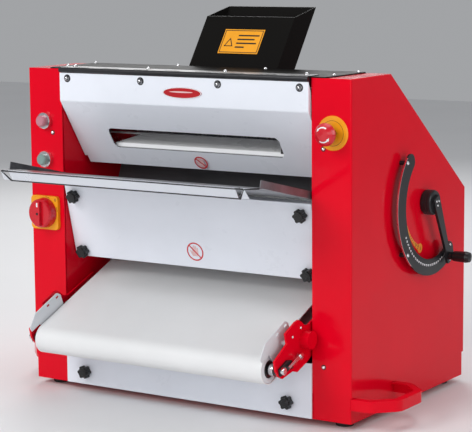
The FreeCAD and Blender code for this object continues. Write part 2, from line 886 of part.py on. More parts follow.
fixed = [
    both_sides("upper_bearings", bearing("upper_bearing", "upper_y", "upper_z")),
    both_sides("lower_bearings", bearing("lower_bearing", "lower_y", "lower_z")),
    both_sides("drive_bearings", bearing("drive_bearing", DRIVE_Y, DRIVE_Z, "10")),
    both_sides("hub_bearings", bearing("hub_bearing", "hub_y", "hub_z", "10")),
]


def carriage(name, y, z, tilt, arm_in, arm_out):
    """Bearing blocks that slide on the frame plates, each with an arm that the eccentric pushes."""
    body = new_body(name, y=y, z=z, tilt=tilt)
    along = f"((hub_y - {y}) * cos({tilt}) + (hub_z - {z}) * sin({tilt}))"
    across = f"((hub_z - {z}) * cos({tilt}) - (hub_y - {y}) * sin({tilt}))"
    reach = f"{along} - cam - cam_throw - 0.6"
    block = rectangle("-26", "-26", "26", "26")
    add(body, "X", f"{FRAME_OUT} + 0.4", f"{BEARING_OUT} - 0.3", [block], [("0", "0", "journal + running")])
    add(body, "X", f"{FRAME_OUT} + 4", arm_out, [rectangle("14", "-24", "26", "2")])
    add(body, "X", arm_in, arm_out, [rectangle("14", f"{across} - 11", reach, f"{across} + 11")])
    pair = both_sides(name + "_pair", body)
    rails = new_body(name + "_rails", y=y, z=z, tilt=tilt)
    rail_outlines = [rectangle("-34", f"{side} * 26.4", "42", f"{side} * 34") for side in ("-1", "1")]
    add(rails, "X", FRAME_OUT, f"{FRAME_OUT} + 5.6", rail_outlines)
    return pair, both_sides(name + "_rail_pair", rails)


upper_pair, upper_rails = carriage("upper_carriage", UPPER_REAR_Y, UPPER_REAR_Z, "-upper_tilt", *CAM_A)
lower_pair, lower_rails = carriage("lower_carriage", LOWER_REAR_Y, LOWER_REAR_Z, "lower_tilt", *CAM_B)
keep(upper_pair, "upper_bearing_blocks")
keep(lower_pair, "lower_bearing_blocks")
keep(together("bearings", fixed + [upper_rails, lower_rails]), "bearings_and_rails")


def gear(name, y, z, teeth, module, start, end, first_tooth, bore):
    """A spur gear on the left; first_tooth is the direction of one tooth, in degrees from +y."""
    body = new_body(name, y=y, z=z, tilt=first_tooth)
    pitch = f"({module} * {teeth} / 2)"
    root = f"({pitch} - 1.2 * {module})"
    tip = f"({pitch} + 0.85 * {module})"
    add(body, "X", f"-({end})", f"-({start})", [], [("0", "0", root), ("0", "0", bore)])
    half_root = f"(0.36 * pi * {module})"
    half_pitch = f"(0.2 * pi * {module})"
    half_tip = f"(0.09 * pi * {module})"
    tooth = [
        (f"{root} - {module}", f"-{half_root}"),
        (root, f"-{half_root}"),
        (pitch, f"-{half_pitch}"),
        (tip, f"-{half_tip}"),
        (tip, half_tip),
        (pitch, half_pitch),
        (root, half_root),
        (f"{root} - {module}", half_root),
    ]
    pad = add(body, "X", f"-({end})", f"-({start})", [tooth])
    ring = body.newObject("PartDesign::PolarPattern", name + "_ring")
    ring.Originals = [pad]
    axis = next(item for item in body.Origin.OriginFeatures if item.Role == "X_Axis")
    ring.Axis = (axis, [""])
    ring.Angle = 360
    bind(ring, "Occurrences", teeth)
    body.Tip = ring
    doc.recompute()
    return body


ROLLER_MODULE = f"({SPACING} / gear_teeth)"
HALF_TOOTH = "(180 / gear_teeth)"
PRESS = "journal"
pairs = [
    ("upper", "upper_y", "upper_z", UPPER_REAR_Y, UPPER_REAR_Z, "-upper_tilt"),
    ("lower", "lower_y", "lower_z", LOWER_REAR_Y, LOWER_REAR_Z, "lower_tilt"),
]
front_wheels = {}
for label_start, front_y, front_z, rear_y, rear_z, tilt in pairs:
    front_gear = gear(
        label_start + "_front_teeth", front_y, front_z, "gear_teeth", ROLLER_MODULE,
        GEAR_IN, GEAR_OUT, tilt, PRESS,
    )
    front_wheels[label_start] = [front_gear]
    rear_roller = roller(label_start + "_rear", rear_y, rear_z, GEAR_OUT, f"{BEARING_OUT} + 2")
    rear_gear = gear(
        label_start + "_rear_teeth", rear_y, rear_z, "gear_teeth", ROLLER_MODULE,
        GEAR_IN, GEAR_OUT, f"180 + {tilt} + {HALF_TOOTH}", PRESS,
    )
    keep(together(label_start + "_rear_set", [rear_roller, rear_gear]), f"{label_start}_rear_roller")

BELT_DISTANCE = f"sqrt(({DRIVE_Y} - lower_y) ^ 2 + ({DRIVE_Z} - lower_z) ^ 2)"
BELT_MODULE = f"(2 * {BELT_DISTANCE} / (belt_teeth_in + belt_teeth_out))"
BELT_LINE = f"(atan(({DRIVE_Z} - lower_z) / ({DRIVE_Y} - lower_y)) / 1 deg)"
belt_gear_in = gear(
    "belt_gear_in", "lower_y", "lower_z", "belt_teeth_in", BELT_MODULE,
    BELT_GEAR, f"{BELT_GEAR} + 6", BELT_LINE, PRESS,
)
belt_gear_out = gear(
    "belt_gear_out", DRIVE_Y, DRIVE_Z, "belt_teeth_out", BELT_MODULE,
    BELT_GEAR, f"{BELT_GEAR} + 6", f"180 + {BELT_LINE} + 180 / belt_teeth_out", "10",
)


def sprocket(name, y, z, radius, start, bore):
    return turned(
        name,
        "X",
        "0",
        y,
        z,
        [
            (f"-({start}) - {LINE_WIDTH}", bore),
            (f"-({start}) - {LINE_WIDTH}", f"{radius} - 3"),
            (f"-({start}) - {LINE_WIDTH} + 1.5", radius),
            (f"-({start}) - 1.5", radius),
            (f"-({start})", f"{radius} - 3"),
            (f"-({start})", bore),
        ],
    )


def point(pair):
    return FreeCAD.Vector(0, pair[0], pair[1])


def chain_loop(name, y0, z0, r0, y1, z1, r1, start):
    """A chain around two sprockets, as a closed band of its outer shape."""
    dy = f"(({y1}) - ({y0}))"
    dz = f"(({z1}) - ({z0}))"
    span = f"sqrt({dy} ^ 2 + {dz} ^ 2)"
    lean = number(f"atan2({dz}; {dy})")
    shapes = []
    for grow in ("0.4", "0.4 + chain"):
        a = number(f"{r0} + {grow}")
        b = number(f"{r1} + {grow}")
        length = number(span)
        turn = math.asin((a - b) / length)
        ends = []
        for sign in (1, -1):
            normal = (math.sin(turn), sign * math.cos(turn))
            ends.append([(a * normal[0], a * normal[1]), (length + b * normal[0], b * normal[1])])
        (a_up, b_up), (a_down, b_down) = ends
        edges = [
            Part.makeLine(point(a_up), point(b_up)),
            Part.Arc(point(b_up), point((length + b, 0)), point(b_down)).toShape(),
            Part.makeLine(point(b_down), point(a_down)),
            Part.Arc(point(a_down), point((-a, 0)), point(a_up)).toShape(),
        ]
        shapes.append(Part.Face(Part.Wire(edges)).extrude(FreeCAD.Vector(number(LINE_WIDTH), 0, 0)))
    band = doc.addObject("Part::Feature", name)
    band.Shape = shapes[1].cut(shapes[0])
    band.Placement = FreeCAD.Placement(
        FreeCAD.Vector(
            -number(start) - number(LINE_WIDTH),
            number(y0) - number(ORIGIN_Y),
            number(z0) + number("foot_height"),
        ),
        FreeCAD.Rotation(X_AXIS, lean),
    )
    return band


lower_wheels = [
    belt_gear_in,
    sprocket("roller_sprocket_in", "lower_y", "lower_z", "48", CHAIN_ONE, PRESS),
    sprocket("link_sprocket_low", "lower_y", "lower_z", "30", CHAIN_TWO, PRESS),
]
keep(together("lower_wheels", front_wheels["lower"] + lower_wheels), "lower_front_wheels")
upper_wheel = sprocket("link_sprocket_high", "upper_y", "upper_z", "30", CHAIN_TWO, PRESS)
keep(together("upper_wheels", front_wheels["upper"] + [upper_wheel]), "upper_front_wheels")
chains = [
    chain_loop("drive_loop", "lower_y", "lower_z", "48", "motor_y", "motor_z", "36", CHAIN_ONE),
    chain_loop("link_loop", "lower_y", "lower_z", "30", "upper_y", "upper_z", "30", CHAIN_TWO),
]
keep(together("chains", chains), "drive_chains")


# Motor and electrics

motor_profile = [
    ("-130", "0"),
    ("-130", "motor_radius"),
    ("70", "motor_radius"),
    ("74", "motor_radius - 4"),
    ("74", "motor_radius - 10"),
    ("110", "motor_radius - 10"),
    ("114", "motor_radius - 16"),
    ("114", "0"),
]
motor_body = turned("motor_can", "X", "0", "motor_y", "motor_z", motor_profile)
gearbox = box("gearbox", "-215", "motor_y - 52", "motor_z - 52", "-130", "motor_y + 52", "motor_z + 60")
motor_foot = box("motor_foot", "-205", "motor_y - 60", "2", "60", "motor_y + 60", "motor_z - 50")
shaft_clearance = cylinder("motor_bore", "X", "-220", "motor_y", "motor_z", "10 + running", "60")
keep(cut("motor_cut", fuse("motor_fuse", [motor_body, gearbox, motor_foot]), [shaft_clearance]), "gear_motor")
motor_rod = cylinder(
    "motor_rod", "X", f"-{CHAIN_ONE} - 8", "motor_y", "motor_z", "10", f"{CHAIN_ONE} + 8 - 165"
)
motor_wheel = sprocket("motor_wheel", "motor_y", "motor_z", "36", CHAIN_ONE, "10")
keep(together("motor_output", [motor_rod, motor_wheel]), "motor_shaft")
keep(box("control_box_body", "140", "350", "20", "255", "406", "190"), "control_box")


# Gap lever, its shaft and eccentrics

LEVER_ANGLE = "(-lever_rest)"
shaft = turned(
    "gap_rod",
    "X",
    "0",
    "hub_y",
    "hub_z",
    [
        (f"-({BEARING_OUT} + 12)", "0"),
        (f"-({BEARING_OUT} + 12)", "10"),
        ("lever_plane - 1", "10"),
        ("lever_plane - 1", "0"),
    ],
)


def eccentric(name, direction, start, end):
    disc = cylinder(
        name,
        "X",
        start,
        f"hub_y + cam_throw * cos({direction})",
        f"hub_z + cam_throw * sin({direction})",
        "cam",
        f"({end}) - ({start})",
    )
    bore = cylinder(name + "_bore", "X", f"({start}) - 1", "hub_y", "hub_z", "10", f"({end}) - ({start}) + 2")
    return cut(name + "_cut", disc, [bore])


upper_cam = eccentric("upper_cam", "180 - upper_tilt - cam_phase", *CAM_A)
lower_cam = eccentric("lower_cam", "180 + lower_tilt - cam_phase", *CAM_B)
cams = [both_sides("upper_cams", upper_cam), both_sides("lower_cams", lower_cam)]
keep(together("shaft_and_cams", [shaft] + cams), "gap_shaft")

hub_profile = [
    (f"{SIDE} + 0.4", "10"),
    (f"{SIDE} + 0.4", "hub_radius - 1.5"),
    (f"{SIDE} + 2", "hub_radius"),
    ("lever_plane - 2", "hub_radius"),
    ("lever_plane", "hub_radius - 2"),
    ("lever_plane", "0"),
    ("lever_plane - 1", "0"),
    ("lever_plane - 1", "10"),
]
keep(turned("hub", "X", "0", "hub_y", "hub_z", hub_profile), "lever_hub")
arm = new_body("arm", y="hub_y", z="hub_z", tilt=LEVER_ANGLE)
add(
    arm,
    "X",
    "lever_plane",
    "lever_plane + 5",
    [
        [
            ("-11", "-10"),
            ("-11", "10"),
            ("6", "11"),
            ("index_radius - 22", "7"),
            ("index_radius - 18", "19"),
            ("index_radius + 2", "19"),
            ("index_radius + 13", "10"),
            ("index_radius + 13", "-10"),
            ("index_radius - 20", "-7"),
            ("6", "-11"),
        ]
    ],
    [("index_radius", "0", "4 + running")],
)
fillet(arm, "4", lambda mid, run: abs(run.x) > 0.9 and mid.y > 60)
keep(arm, "lever_arm")

index_at = ("index_radius * cos(lever_rest)", "-index_radius * sin(lever_rest)")
grip_profile = [
    ("quadrant_plane + 3.4", "0"),
    ("quadrant_plane + 3.4", "index_hole - 0.3"),
    ("quadrant_plane + 4.6", "4"),
    ("lever_plane + 5.5", "4"),
    ("lever_plane + 5.5", "7.5"),
    ("lever_plane + 12", "7.5"),
    ("lever_plane + 16", "9.5"),
    ("lever_plane + 40", "10.5"),
    ("lever_plane + 47", "9"),
    ("lever_plane + 49", "0"),
]
grip = turned(
    "grip", "X", "0", f"hub_y + {index_at[0]}", f"hub_z + {index_at[1]}", grip_profile
)
keep(grip, "index_grip")

ring_outer = cylinder("ring_outer", "X", "quadrant_plane", "hub_y", "hub_z", "quadrant_out", "3")
ring_inner = cylinder("ring_inner", "X", "quadrant_plane - 1", "hub_y", "hub_z", "quadrant_in", "5")
QUADRANT_START = 136
QUADRANT_SWEEP = 170
TO_RING = FreeCAD.Rotation(X_AXIS, QUADRANT_START + 90)
ring_outer.Placement.Rotation = TO_RING.multiply(TURN_TO["X"])
ring_outer.Angle = QUADRANT_SWEEP
end_caps = []
for angle in (QUADRANT_START, QUADRANT_START + QUADRANT_SWEEP):
    mid_ring = "(quadrant_in + quadrant_out) / 2"
    end_caps.append(
        cylinder(
            f"ring_cap_{angle}",
            "X",
            "quadrant_plane",
            f"hub_y + {mid_ring} * cos({angle})",
            f"hub_z + {mid_ring} * sin({angle})",
            "(quadrant_out - quadrant_in) / 2",
            "3",
        )
    )
INDEX_HOLES = 23
index_holes = [
    cylinder(
        f"index_hole_{count}",
        "X",
        "quadrant_plane - 1",
        f"hub_y + index_radius * cos(-lever_rest - {count} * index_step)",
        f"hub_z + index_radius * sin(-lever_rest - {count} * index_step)",
        "index_hole",
        "5",
    )
    for count in range(INDEX_HOLES)
]
ring_blank = cut("ring_blank", ring_outer, [ring_inner])
quadrant = cut("quadrant_cut", fuse("ring_fuse", [ring_blank] + end_caps), index_holes)
spacers = [
    cylinder(
        f"quadrant_spacer_{angle}",
        "X",
        SIDE,
        f"hub_y + 128 * cos({angle})",
        f"hub_z + 128 * sin({angle})",
        "4",
        f"quadrant_plane - {SIDE}",
    )
    for angle in (140, 221, 300)
]
keep(fuse("quadrant_on_spacers", [quadrant] + spacers), "quadrant_plate")

SCALE_START = 207
SCALE_END = 256
SCALE_STEPS = 10
scale_plate = new_body("scale_plate", y="hub_y", z="hub_z")
scale_inner = []
scale_outer = []
for step in range(SCALE_STEPS + 1):
    share = step / SCALE_STEPS
    angle = SCALE_START + (SCALE_END - SCALE_START) * share
    inner = 78.5 + 1.5 * share
    outer = 82 + 9.5 * share**1.6
    scale_inner.append((f"{inner} * cos({angle})", f"{inner} * sin({angle})"))
    scale_outer.append((f"{outer} * cos({angle})", f"{outer} * sin({angle})"))
add(scale_plate, "X", SIDE, f"{SIDE} + 0.6", [scale_outer + scale_inner[::-1]])
scale_tip = (f"85.5 * cos({SCALE_END})", f"85.5 * sin({SCALE_END})", "8.8")
add(scale_plate, "X", SIDE, f"{SIDE} + 0.6", [], [scale_tip])
keep(scale_plate, "gap_scale")


# Belt conveyor, drawn along the slope

WRAP = "(belt_roller + 0.3)"


def belt_item(name, kind):
    item = doc.addObject(kind, name)
    item.Placement.Rotation = FreeCAD.Rotation(X_AXIS, number("belt_tilt"))
    return item


def stadium(name, radius, half):
    """Two round ends joined by flat runs, across the belt's width."""
    run = belt_item(name + "_run", "Part::Box")
    place(run, f"-({half})", f"nose_y + {radius} * sin(belt_tilt)", f"nose_z - {radius} * cos(belt_tilt)")
    bind(run, "Length", f"2 * ({half})")
    bind(run, "Width", "belt_run")
    bind(run, "Height", f"2 * ({radius})")
    ends = [
        cylinder(f"{name}_end_{index}", "X", f"-({half})", y, z, radius, f"2 * ({half})")
        for index, (y, z) in enumerate([("nose_y", "nose_z"), (DRIVE_Y, DRIVE_Z)])
    ]
    return fuse(name, [run] + ends)


belt = cut(
    "belt_cut",
    stadium("belt_outside", f"({WRAP} + belt_skin)", "belt_end"),
    [stadium("belt_inside", WRAP, "belt_end + 5")],
)
keep(belt, "conveyor_belt")

nose_profile = [
    ("-belt_end + 2", "9"),
    ("-belt_end + 2", "belt_roller"),
    ("belt_end - 2", "belt_roller"),
    ("belt_end - 2", "9"),
]
keep(turned("nose", "X", "0", "nose_y", "nose_z", nose_profile), "nose_roller")
drive_profile = [
    (f"-({BELT_GEAR} + 6)", "0"),
    (f"-({BELT_GEAR} + 6)", "10"),
    ("-belt_end + 2", "10"),
    ("-belt_end + 2", "belt_roller"),
    ("belt_end - 2", "belt_roller"),
    ("belt_end - 2", "10"),
    (f"{BEARING_OUT} + 2", "10"),
    (f"{BEARING_OUT} + 2", "0"),
]
belt_drive = turned("belt_drive", "X", "0", DRIVE_Y, DRIVE_Z, drive_profile)
keep(together("belt_drive_set", [belt_drive, belt_gear_out]), "belt_drive_roller")

bed = new_body("bed", y="nose_y", z="nose_z", tilt="belt_tilt")
bed_top = "belt_roller - 0.6"
bed_outline = [
    ("34", bed_top),
    ("belt_run - 32", bed_top),
    ("belt_run - 32", "-8"),
    ("belt_run - 34", "-8"),
    ("belt_run - 34", f"{bed_top} - 2"),
    ("36", f"{bed_top} - 2"),
    ("36", "-8"),
    ("34", "-8"),
]
add(bed, "X", "-belt_end + 2", "belt_end - 2", [bed_outline])
add(bed, "X", "-264", "264", [], [("41.9", "-1", "6")])
add(bed, "X", f"-{INNER}", INNER, [], [("belt_run - 39.9", "-1", "6")])
keep(bed, "belt_bed")

guide = new_body("guide", y="nose_y", z="nose_z", tilt="belt_tilt")
guide_outline = [
    ("-22", "27.5"),
    ("-24", "36"),
    ("0", "53"),
    ("70", "54"),
    ("78", "46"),
    ("78", "14"),
    ("10", "10"),
    ("4", "28"),
]
slot_outlines = [rectangle(u, "44", f"{u} + 9", "48.5") for u in ("34", "63")]
guide_face = ("belt_end + 3.2", "belt_end + 4.7")
add(guide, "X", *guide_face, [guide_outline])
fillet(guide, "6", lambda mid, run: abs(run.x) > 0.9 and mid.y > 60)
remove(guide, "X", "belt_end + 3", "belt_end + 5", slot_outlines)
add(guide, "X", guide_face[1], "264", [], [("50", "22", "5"), ("68", "24", "5")])
keep(both_sides("guides", guide), "belt_side_guides")

bracket = new_body("bracket", y="nose_y", z="nose_z", tilt="belt_tilt")
bracket_outline = [
    ("-9", "24"),
    ("-12", "6"),
    ("-8", "-8"),
    ("0", "-17"),
    ("10", "-19"),
    ("34", "-24"),
    ("46", "-34"),
    ("78", "-36"),
    ("110", "-34"),
    ("200", "-20"),
    ("200", "20"),
    ("112", "22"),
    ("100", "28"),
    ("93", "40"),
    ("86", "48"),
    ("76", "50"),
    ("40", "49"),
    ("37", "30"),
]
add(bracket, "X", "264", "268", [bracket_outline])
remove(bracket, "X", "263", "269", [rectangle("-5", "-4", "26", "4")])
for along_belt in ("130", "180"):
    add(bracket, "X", "268", INNER, [], [(along_belt, "8", "8")])
add(bracket, "X", "268", "285", [], [("88", "7", "16")])
keep(both_sides("brackets", bracket), "belt_brackets")

tension = new_body("tension", y="nose_y", z="nose_z", tilt="belt_tilt")
link_outline = [("-7", "-7"), ("-7", "7"), ("22", "7"), ("34", "0"), ("34", "-16"), ("22", "-12")]
add(tension, "X", "268.3", "271.8", [link_outline])
add(tension, "X", "263", "268.3", [rectangle("-4.5", "-3.6", "5", "3.6")])
axle_rod = cylinder("nose_axle_rod", "X", "-263", "nose_y", "nose_z", "9 - running", "526")
keep(together("nose_axle_set", [axle_rod, both_sides("tension_pair", tension)]), "nose_axle")


# Star knobs


def star_knob(name, x, y, z, tilt):
    """A six-lobed knob with a stud that goes through its panel into a lug."""
    body = new_body(name, y=y, z=z, tilt=tilt)
    lobes = []
    add(body, "Y", "-15", "-0.4", [], [(x, "0", "knob - 3.5")])
    for count in range(6):
        angle = 60 * count
        lobes.append((f"{x} + (knob - 3.4) * cos({angle})", f"(knob - 3.4) * sin({angle})", "3.4"))
    for lobe in lobes:
        add(body, "Y", "-13", "-2.4", [], [lobe])
    add(body, "Y", "-0.5", "15", [], [(x, "0", "4")])
    return body


knob_number = 0
for side, name in (("-249", "left"), ("249", "right")):
    for local_z, level in ((knob_high, "upper"), (knob_low, "lower")):
        y = f"-({local_z}) * sin({PANEL_TILT})"
        z = f"panel_top + ({local_z}) * cos({PANEL_TILT})"
        keep(star_knob(f"star_{knob_number}", side, y, z, PANEL_TILT), f"panel_knob_{level}_{name}")
        knob_number += 1
for side, name in (("-224", "left"), ("224", "right")):
    keep(star_knob(f"star_{knob_number}", side, "-3", "26", "0"), f"base_knob_{name}")
    knob_number += 1


# Controls


def push_button(name, z):
    profile = [("-20", "0"), ("-20", "8"), ("-17", "10.5"), ("-6", "10.5"), ("-6", "7"), ("20", "7"), ("20", "0")]
    return turned(name, "Y", "-311", "0", z, profile)


def bezel(name, x, z, outer, inner, reach):
    profile = [
        (f"-{reach}", inner),
        (f"-{reach}", f"{outer} - 1.5"),
        (f"1.5 - {reach}", outer),
        ("0", outer),
        ("0", "11"),
        ("14", "11"),
        ("14", inner),
    ]
    return turned(name, "Y", x, "0", z, profile)


keep(push_button("start", "500"), "start_button")
keep(push_button("stop", "427"), "stop_button")
bezels = [
    bezel("start_bezel", "-311", "500", "15", "10.5 + running", "10"),
    bezel("stop_bezel", "-311", "427", "15", "10.5 + running", "10"),
]
keep(together("bezels", bezels), "button_bezels")

switch = new_body("switch", x="-314", z="325")
add(switch, "Y", "-7", "0", [rectangle("-32", "-32", "32", "32")], [("0", "0", "6 + running")])
fillet(switch, "7", lambda mid, run: abs(run.y) > 0.9 and abs(mid.x) > 20)
knob_profile = [
    ("-24", "0"),
    ("-24", "24"),
    ("-21", "27"),
    ("-7.4", "29"),
    ("-7.4", "6"),
    ("16", "6"),
    ("16", "0"),
]
switch_knob = turned("switch_knob", "Y", "-314", "0", "325", knob_profile)
add(switch_knob, "Y", "-30", "-23", [rectangle("-5.5", "-23", "5.5", "23")])
keep(switch_knob, "main_switch_knob")

stop_plate = turned(
    "stop_plate",
    "Y",
    "314",
    "0",
    "506",
    [
        ("-2.5", "8 + running"),
        ("-2.5", "29"),
        ("-1", "30"),
        ("0", "30"),
        ("0", "11.5"),
        ("12", "11.5"),
        ("12", "8 + running"),
    ],
)
keep(together("plates_on_front", [switch, stop_plate]), "control_plates")
stem_profile = [("-22", "0"), ("-22", "5"), ("-12", "5"), ("-12", "8"), ("18", "8"), ("18", "0")]
keep(turned("stop_stem", "Y", "314", "0", "506", stem_profile), "emergency_stop_stem")
head_profile = [
    ("-37", "0"),
    ("-36", "10"),
    ("-32", "17"),
    ("-27", "20"),
    ("-23", "19"),
    ("-17", "9"),
    ("-14", "9"),
    ("-14", "5.05"),
    ("-22.2", "5.05"),
    ("-22.2", "0"),
]
keep(turned("stop_head", "Y", "314", "0", "506", head_profile), "emergency_stop_head")

face_screws = [
    dome_screw(f"face_screw_{index}", x, "0", z, radius=3.5)
    for index, (x, z) in enumerate([("-295", "478"), ("295", "478"), ("-295", "96"), ("295", "96")])
]
keep(together("screws", face_screws + top_screws + leaf_screws), "housing_screws")


# Checks and output

doc.recompute()
for item in doc.Objects:
    if "Invalid" in item.State or "Error" in item.State:
        raise RuntimeError(f"{item.Label} failed: {item.State} {item.getStatusString()}")
os.makedirs("parts", exist_ok=True)
for item in NODES:
    shape = item.Shape
    if shape.isNull() or not shape.isValid():
        raise RuntimeError(f"{item.Label} has no valid shape")
    shape.exportStep(os.path.join("parts", item.Label + ".step"))
    print(item.Label, len(shape.Solids), round(shape.Volume / 1000, 1), "cm3")
print(len(NODES), "nodes")
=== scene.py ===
"""Dough sheeter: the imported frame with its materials, small printed and pressed details, a plain studio
and a camera."""

import bpy
import bmesh
import math
from mathutils import Matrix, Vector
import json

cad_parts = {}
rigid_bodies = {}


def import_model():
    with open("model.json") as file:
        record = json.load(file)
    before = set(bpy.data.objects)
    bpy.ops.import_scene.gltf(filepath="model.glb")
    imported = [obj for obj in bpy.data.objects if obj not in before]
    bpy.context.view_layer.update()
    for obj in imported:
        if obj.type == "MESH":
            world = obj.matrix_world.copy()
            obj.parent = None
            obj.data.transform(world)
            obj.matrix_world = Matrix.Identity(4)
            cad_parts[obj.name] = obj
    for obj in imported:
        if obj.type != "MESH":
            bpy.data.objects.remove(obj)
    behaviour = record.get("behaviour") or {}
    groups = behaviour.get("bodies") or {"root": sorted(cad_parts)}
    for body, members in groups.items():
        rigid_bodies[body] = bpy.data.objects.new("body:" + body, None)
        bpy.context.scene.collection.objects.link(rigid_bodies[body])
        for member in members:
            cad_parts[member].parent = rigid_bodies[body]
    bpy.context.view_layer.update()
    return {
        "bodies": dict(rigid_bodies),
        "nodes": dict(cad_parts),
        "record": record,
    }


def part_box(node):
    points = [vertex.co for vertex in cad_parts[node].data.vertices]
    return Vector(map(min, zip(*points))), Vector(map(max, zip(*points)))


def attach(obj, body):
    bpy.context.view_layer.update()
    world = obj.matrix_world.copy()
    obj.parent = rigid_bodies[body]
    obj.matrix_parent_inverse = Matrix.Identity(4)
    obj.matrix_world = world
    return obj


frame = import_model()


# Materials


class Nodes:
    """A material's node tree, with short calls for the nodes used here."""

    def __init__(self, name):
        self.material = bpy.data.materials.new(name)
        self.material.use_nodes = True
        self.tree = self.material.node_tree
        self.tree.nodes.clear()
        self.shader = self.tree.nodes.new("ShaderNodeBsdfPrincipled")
        output = self.tree.nodes.new("ShaderNodeOutputMaterial")
        self.tree.links.new(self.shader.outputs[0], output.inputs[0])
        self.place = self.tree.nodes.new("ShaderNodeTexCoord").outputs["Object"]

    def set(self, **values):
        for key, value in values.items():
            socket = self.shader.inputs[key.replace("_", " ")]
            if key in ("Base_Color", "Coat_Tint", "Emission_Color", "Specular_Tint"):
                value = (*value, 1)
            socket.default_value = value

    def link(self, source, target):
        self.tree.links.new(source, target)

    def scaled(self, x=1, y=1, z=1, turn=(0, 0, 0)):
        node = self.tree.nodes.new("ShaderNodeMapping")
        node.inputs["Scale"].default_value = (x, y, z)
        node.inputs["Rotation"].default_value = turn
        self.link(self.place, node.inputs["Vector"])
        return node.outputs[0]

    def noise(self, scale, detail=4, vector=None):
        node = self.tree.nodes.new("ShaderNodeTexNoise")
        node.inputs["Scale"].default_value = scale
        node.inputs["Detail"].default_value = detail
        node.inputs["Roughness"].default_value = 0.55
        self.link(vector or self.place, node.inputs["Vector"])
        return node.outputs["Fac"]

    def wave(self, scale, direction="X", vector=None):
        node = self.tree.nodes.new("ShaderNodeTexWave")
        node.bands_direction = direction
        node.inputs["Scale"].default_value = scale
        self.link(vector or self.place, node.inputs["Vector"])
        return node.outputs["Fac"]

    def spread(self, value, low, high, start=0.3, end=0.7):
        """Maps start..end to low..high."""
        node = self.tree.nodes.new("ShaderNodeMapRange")
        node.inputs["From Min"].default_value = start
        node.inputs["From Max"].default_value = end
        node.inputs["To Min"].default_value = low
        node.inputs["To Max"].default_value = high
        self.link(value, node.inputs["Value"])
        return node.outputs[0]

    def tint(self, value, low, high, start=0.3, end=0.7):
        node = self.tree.nodes.new("ShaderNodeMix")
        node.data_type = "RGBA"
        self.link(self.spread(value, 0, 1, start, end), node.inputs["Factor"])
        node.inputs["A"].default_value = (*low, 1)
        node.inputs["B"].default_value = (*high, 1)
        return node.outputs["Result"]

    def maths(self, operation, first, second):
        node = self.tree.nodes.new("ShaderNodeMath")
        node.operation = operation
        for index, value in enumerate((first, second)):
            if isinstance(value, (int, float)):
                node.inputs[index].default_value = value
            else:
                self.link(value, node.inputs[index])
        return node.outputs[0]

    def bump(self, height, distance, strength=1.0):
        node = self.tree.nodes.new("ShaderNodeBump")
        node.inputs["Strength"].default_value = strength
        node.inputs["Distance"].default_value = distance
        self.link(height, node.inputs["Height"])
        self.link(node.outputs[0], self.shader.inputs["Normal"])

    def color(self, source):
        self.link(source, self.shader.inputs["Base Color"])

    def rough(self, source):
        self.link(source, self.shader.inputs["Roughness"])


def darker(color, factor):
    return tuple(part * factor for part in color)


def paint(name, color, low=0.12, high=0.2, gloss=0.22, coat=0.06, peel=0.0001, ior=1.4):
    """Stove enamel: a faint orange peel, slightly uneven gloss, hardly any change of colour."""
    m = Nodes(name)
    m.set(Coat_Weight=coat, Coat_Roughness=0.03, IOR=ior, Specular_IOR_Level=gloss)
    m.color(m.tint(m.noise(7, 6), darker(color, 0.94), color))
    m.rough(m.spread(m.noise(26, 5), low, high))
    m.bump(m.noise(420, 2), peel, 0.3)
    return m.material


def brushed(name, color, low, high, metallic):
    """Brushed metal: fine lines along x and broad soft streaks."""
    m = Nodes(name)
    m.set(Metallic=metallic)
    lines = m.noise(4, 4, m.scaled(2, 260, 260))
    m.color(m.tint(m.noise(5, 4, m.scaled(1, 4, 4)), darker(color, 0.86), color))
    m.rough(m.spread(m.maths("ADD", m.maths("MULTIPLY", lines, 0.6), m.noise(9, 4)), low, high, 0.5, 1.1))
    m.bump(lines, 0.00006, 0.5)
    return m.material


def sheet(name, dark, painted_lit_tone, axis, border, metallic):
    """Steel sheet with painted light: bright on one side of a border as a painted highlight and reflection,
    darker and streaked on the other as painted shade and dark reflections.
    """
    m = Nodes(name)
    m.set(Metallic=metallic)
    split = m.tree.nodes.new("ShaderNodeSeparateXYZ")
    m.link(m.place, split.inputs[0])
    # The streaks on the darker side are painted dark reflections.
    streaks = m.noise(6, 4, m.scaled(0.8, 5, 5))
    floor = m.tint(streaks, darker(dark, 0.5), dark)
    mix = m.tree.nodes.new("ShaderNodeMix")
    mix.data_type = "RGBA"
    m.link(m.spread(split.outputs[axis], 0, 1, border, border + 0.002), mix.inputs["Factor"])
    first, second = ("A", "B") if axis == "Z" else ("B", "A")
    m.link(floor, mix.inputs[first])
    # The bright side is a flat painted highlight.
    mix.inputs[second].default_value = (*painted_lit_tone, 1)
    m.color(mix.outputs["Result"])
    m.rough(m.spread(m.noise(9, 4), 0.25, 0.4))
    m.bump(m.noise(4, 4, m.scaled(2, 260, 260)), 0.00006, 0.5)
    return m.material


def ground(name, color, low=0.18, high=0.3):
    """Turned or ground steel with fine rings round its axis."""
    m = Nodes(name)
    m.set(Metallic=1.0)
    rings = m.noise(5, 3, m.scaled(300, 4, 4))
    m.color(m.tint(m.noise(14, 5), darker(color, 0.88), color))
    m.rough(m.spread(m.maths("ADD", m.maths("MULTIPLY", rings, 0.5), m.noise(20, 4)), low, high, 0.5, 1.0))
    m.bump(rings, 0.00004, 0.5)
    return m.material


def plastic(name, color, low=0.3, high=0.42, grain=0.00008, scale=600, coat=0.0):
    """Moulded plastic with a fine spark-eroded grain."""
    m = Nodes(name)
    m.set(IOR=1.48, Coat_Weight=coat, Coat_Roughness=0.1)
    m.color(m.tint(m.noise(18, 5), darker(color, 0.9), color))
    m.rough(m.spread(m.noise(40, 4), low, high))
    m.bump(m.noise(scale, 3), grain, 0.5)
    return m.material


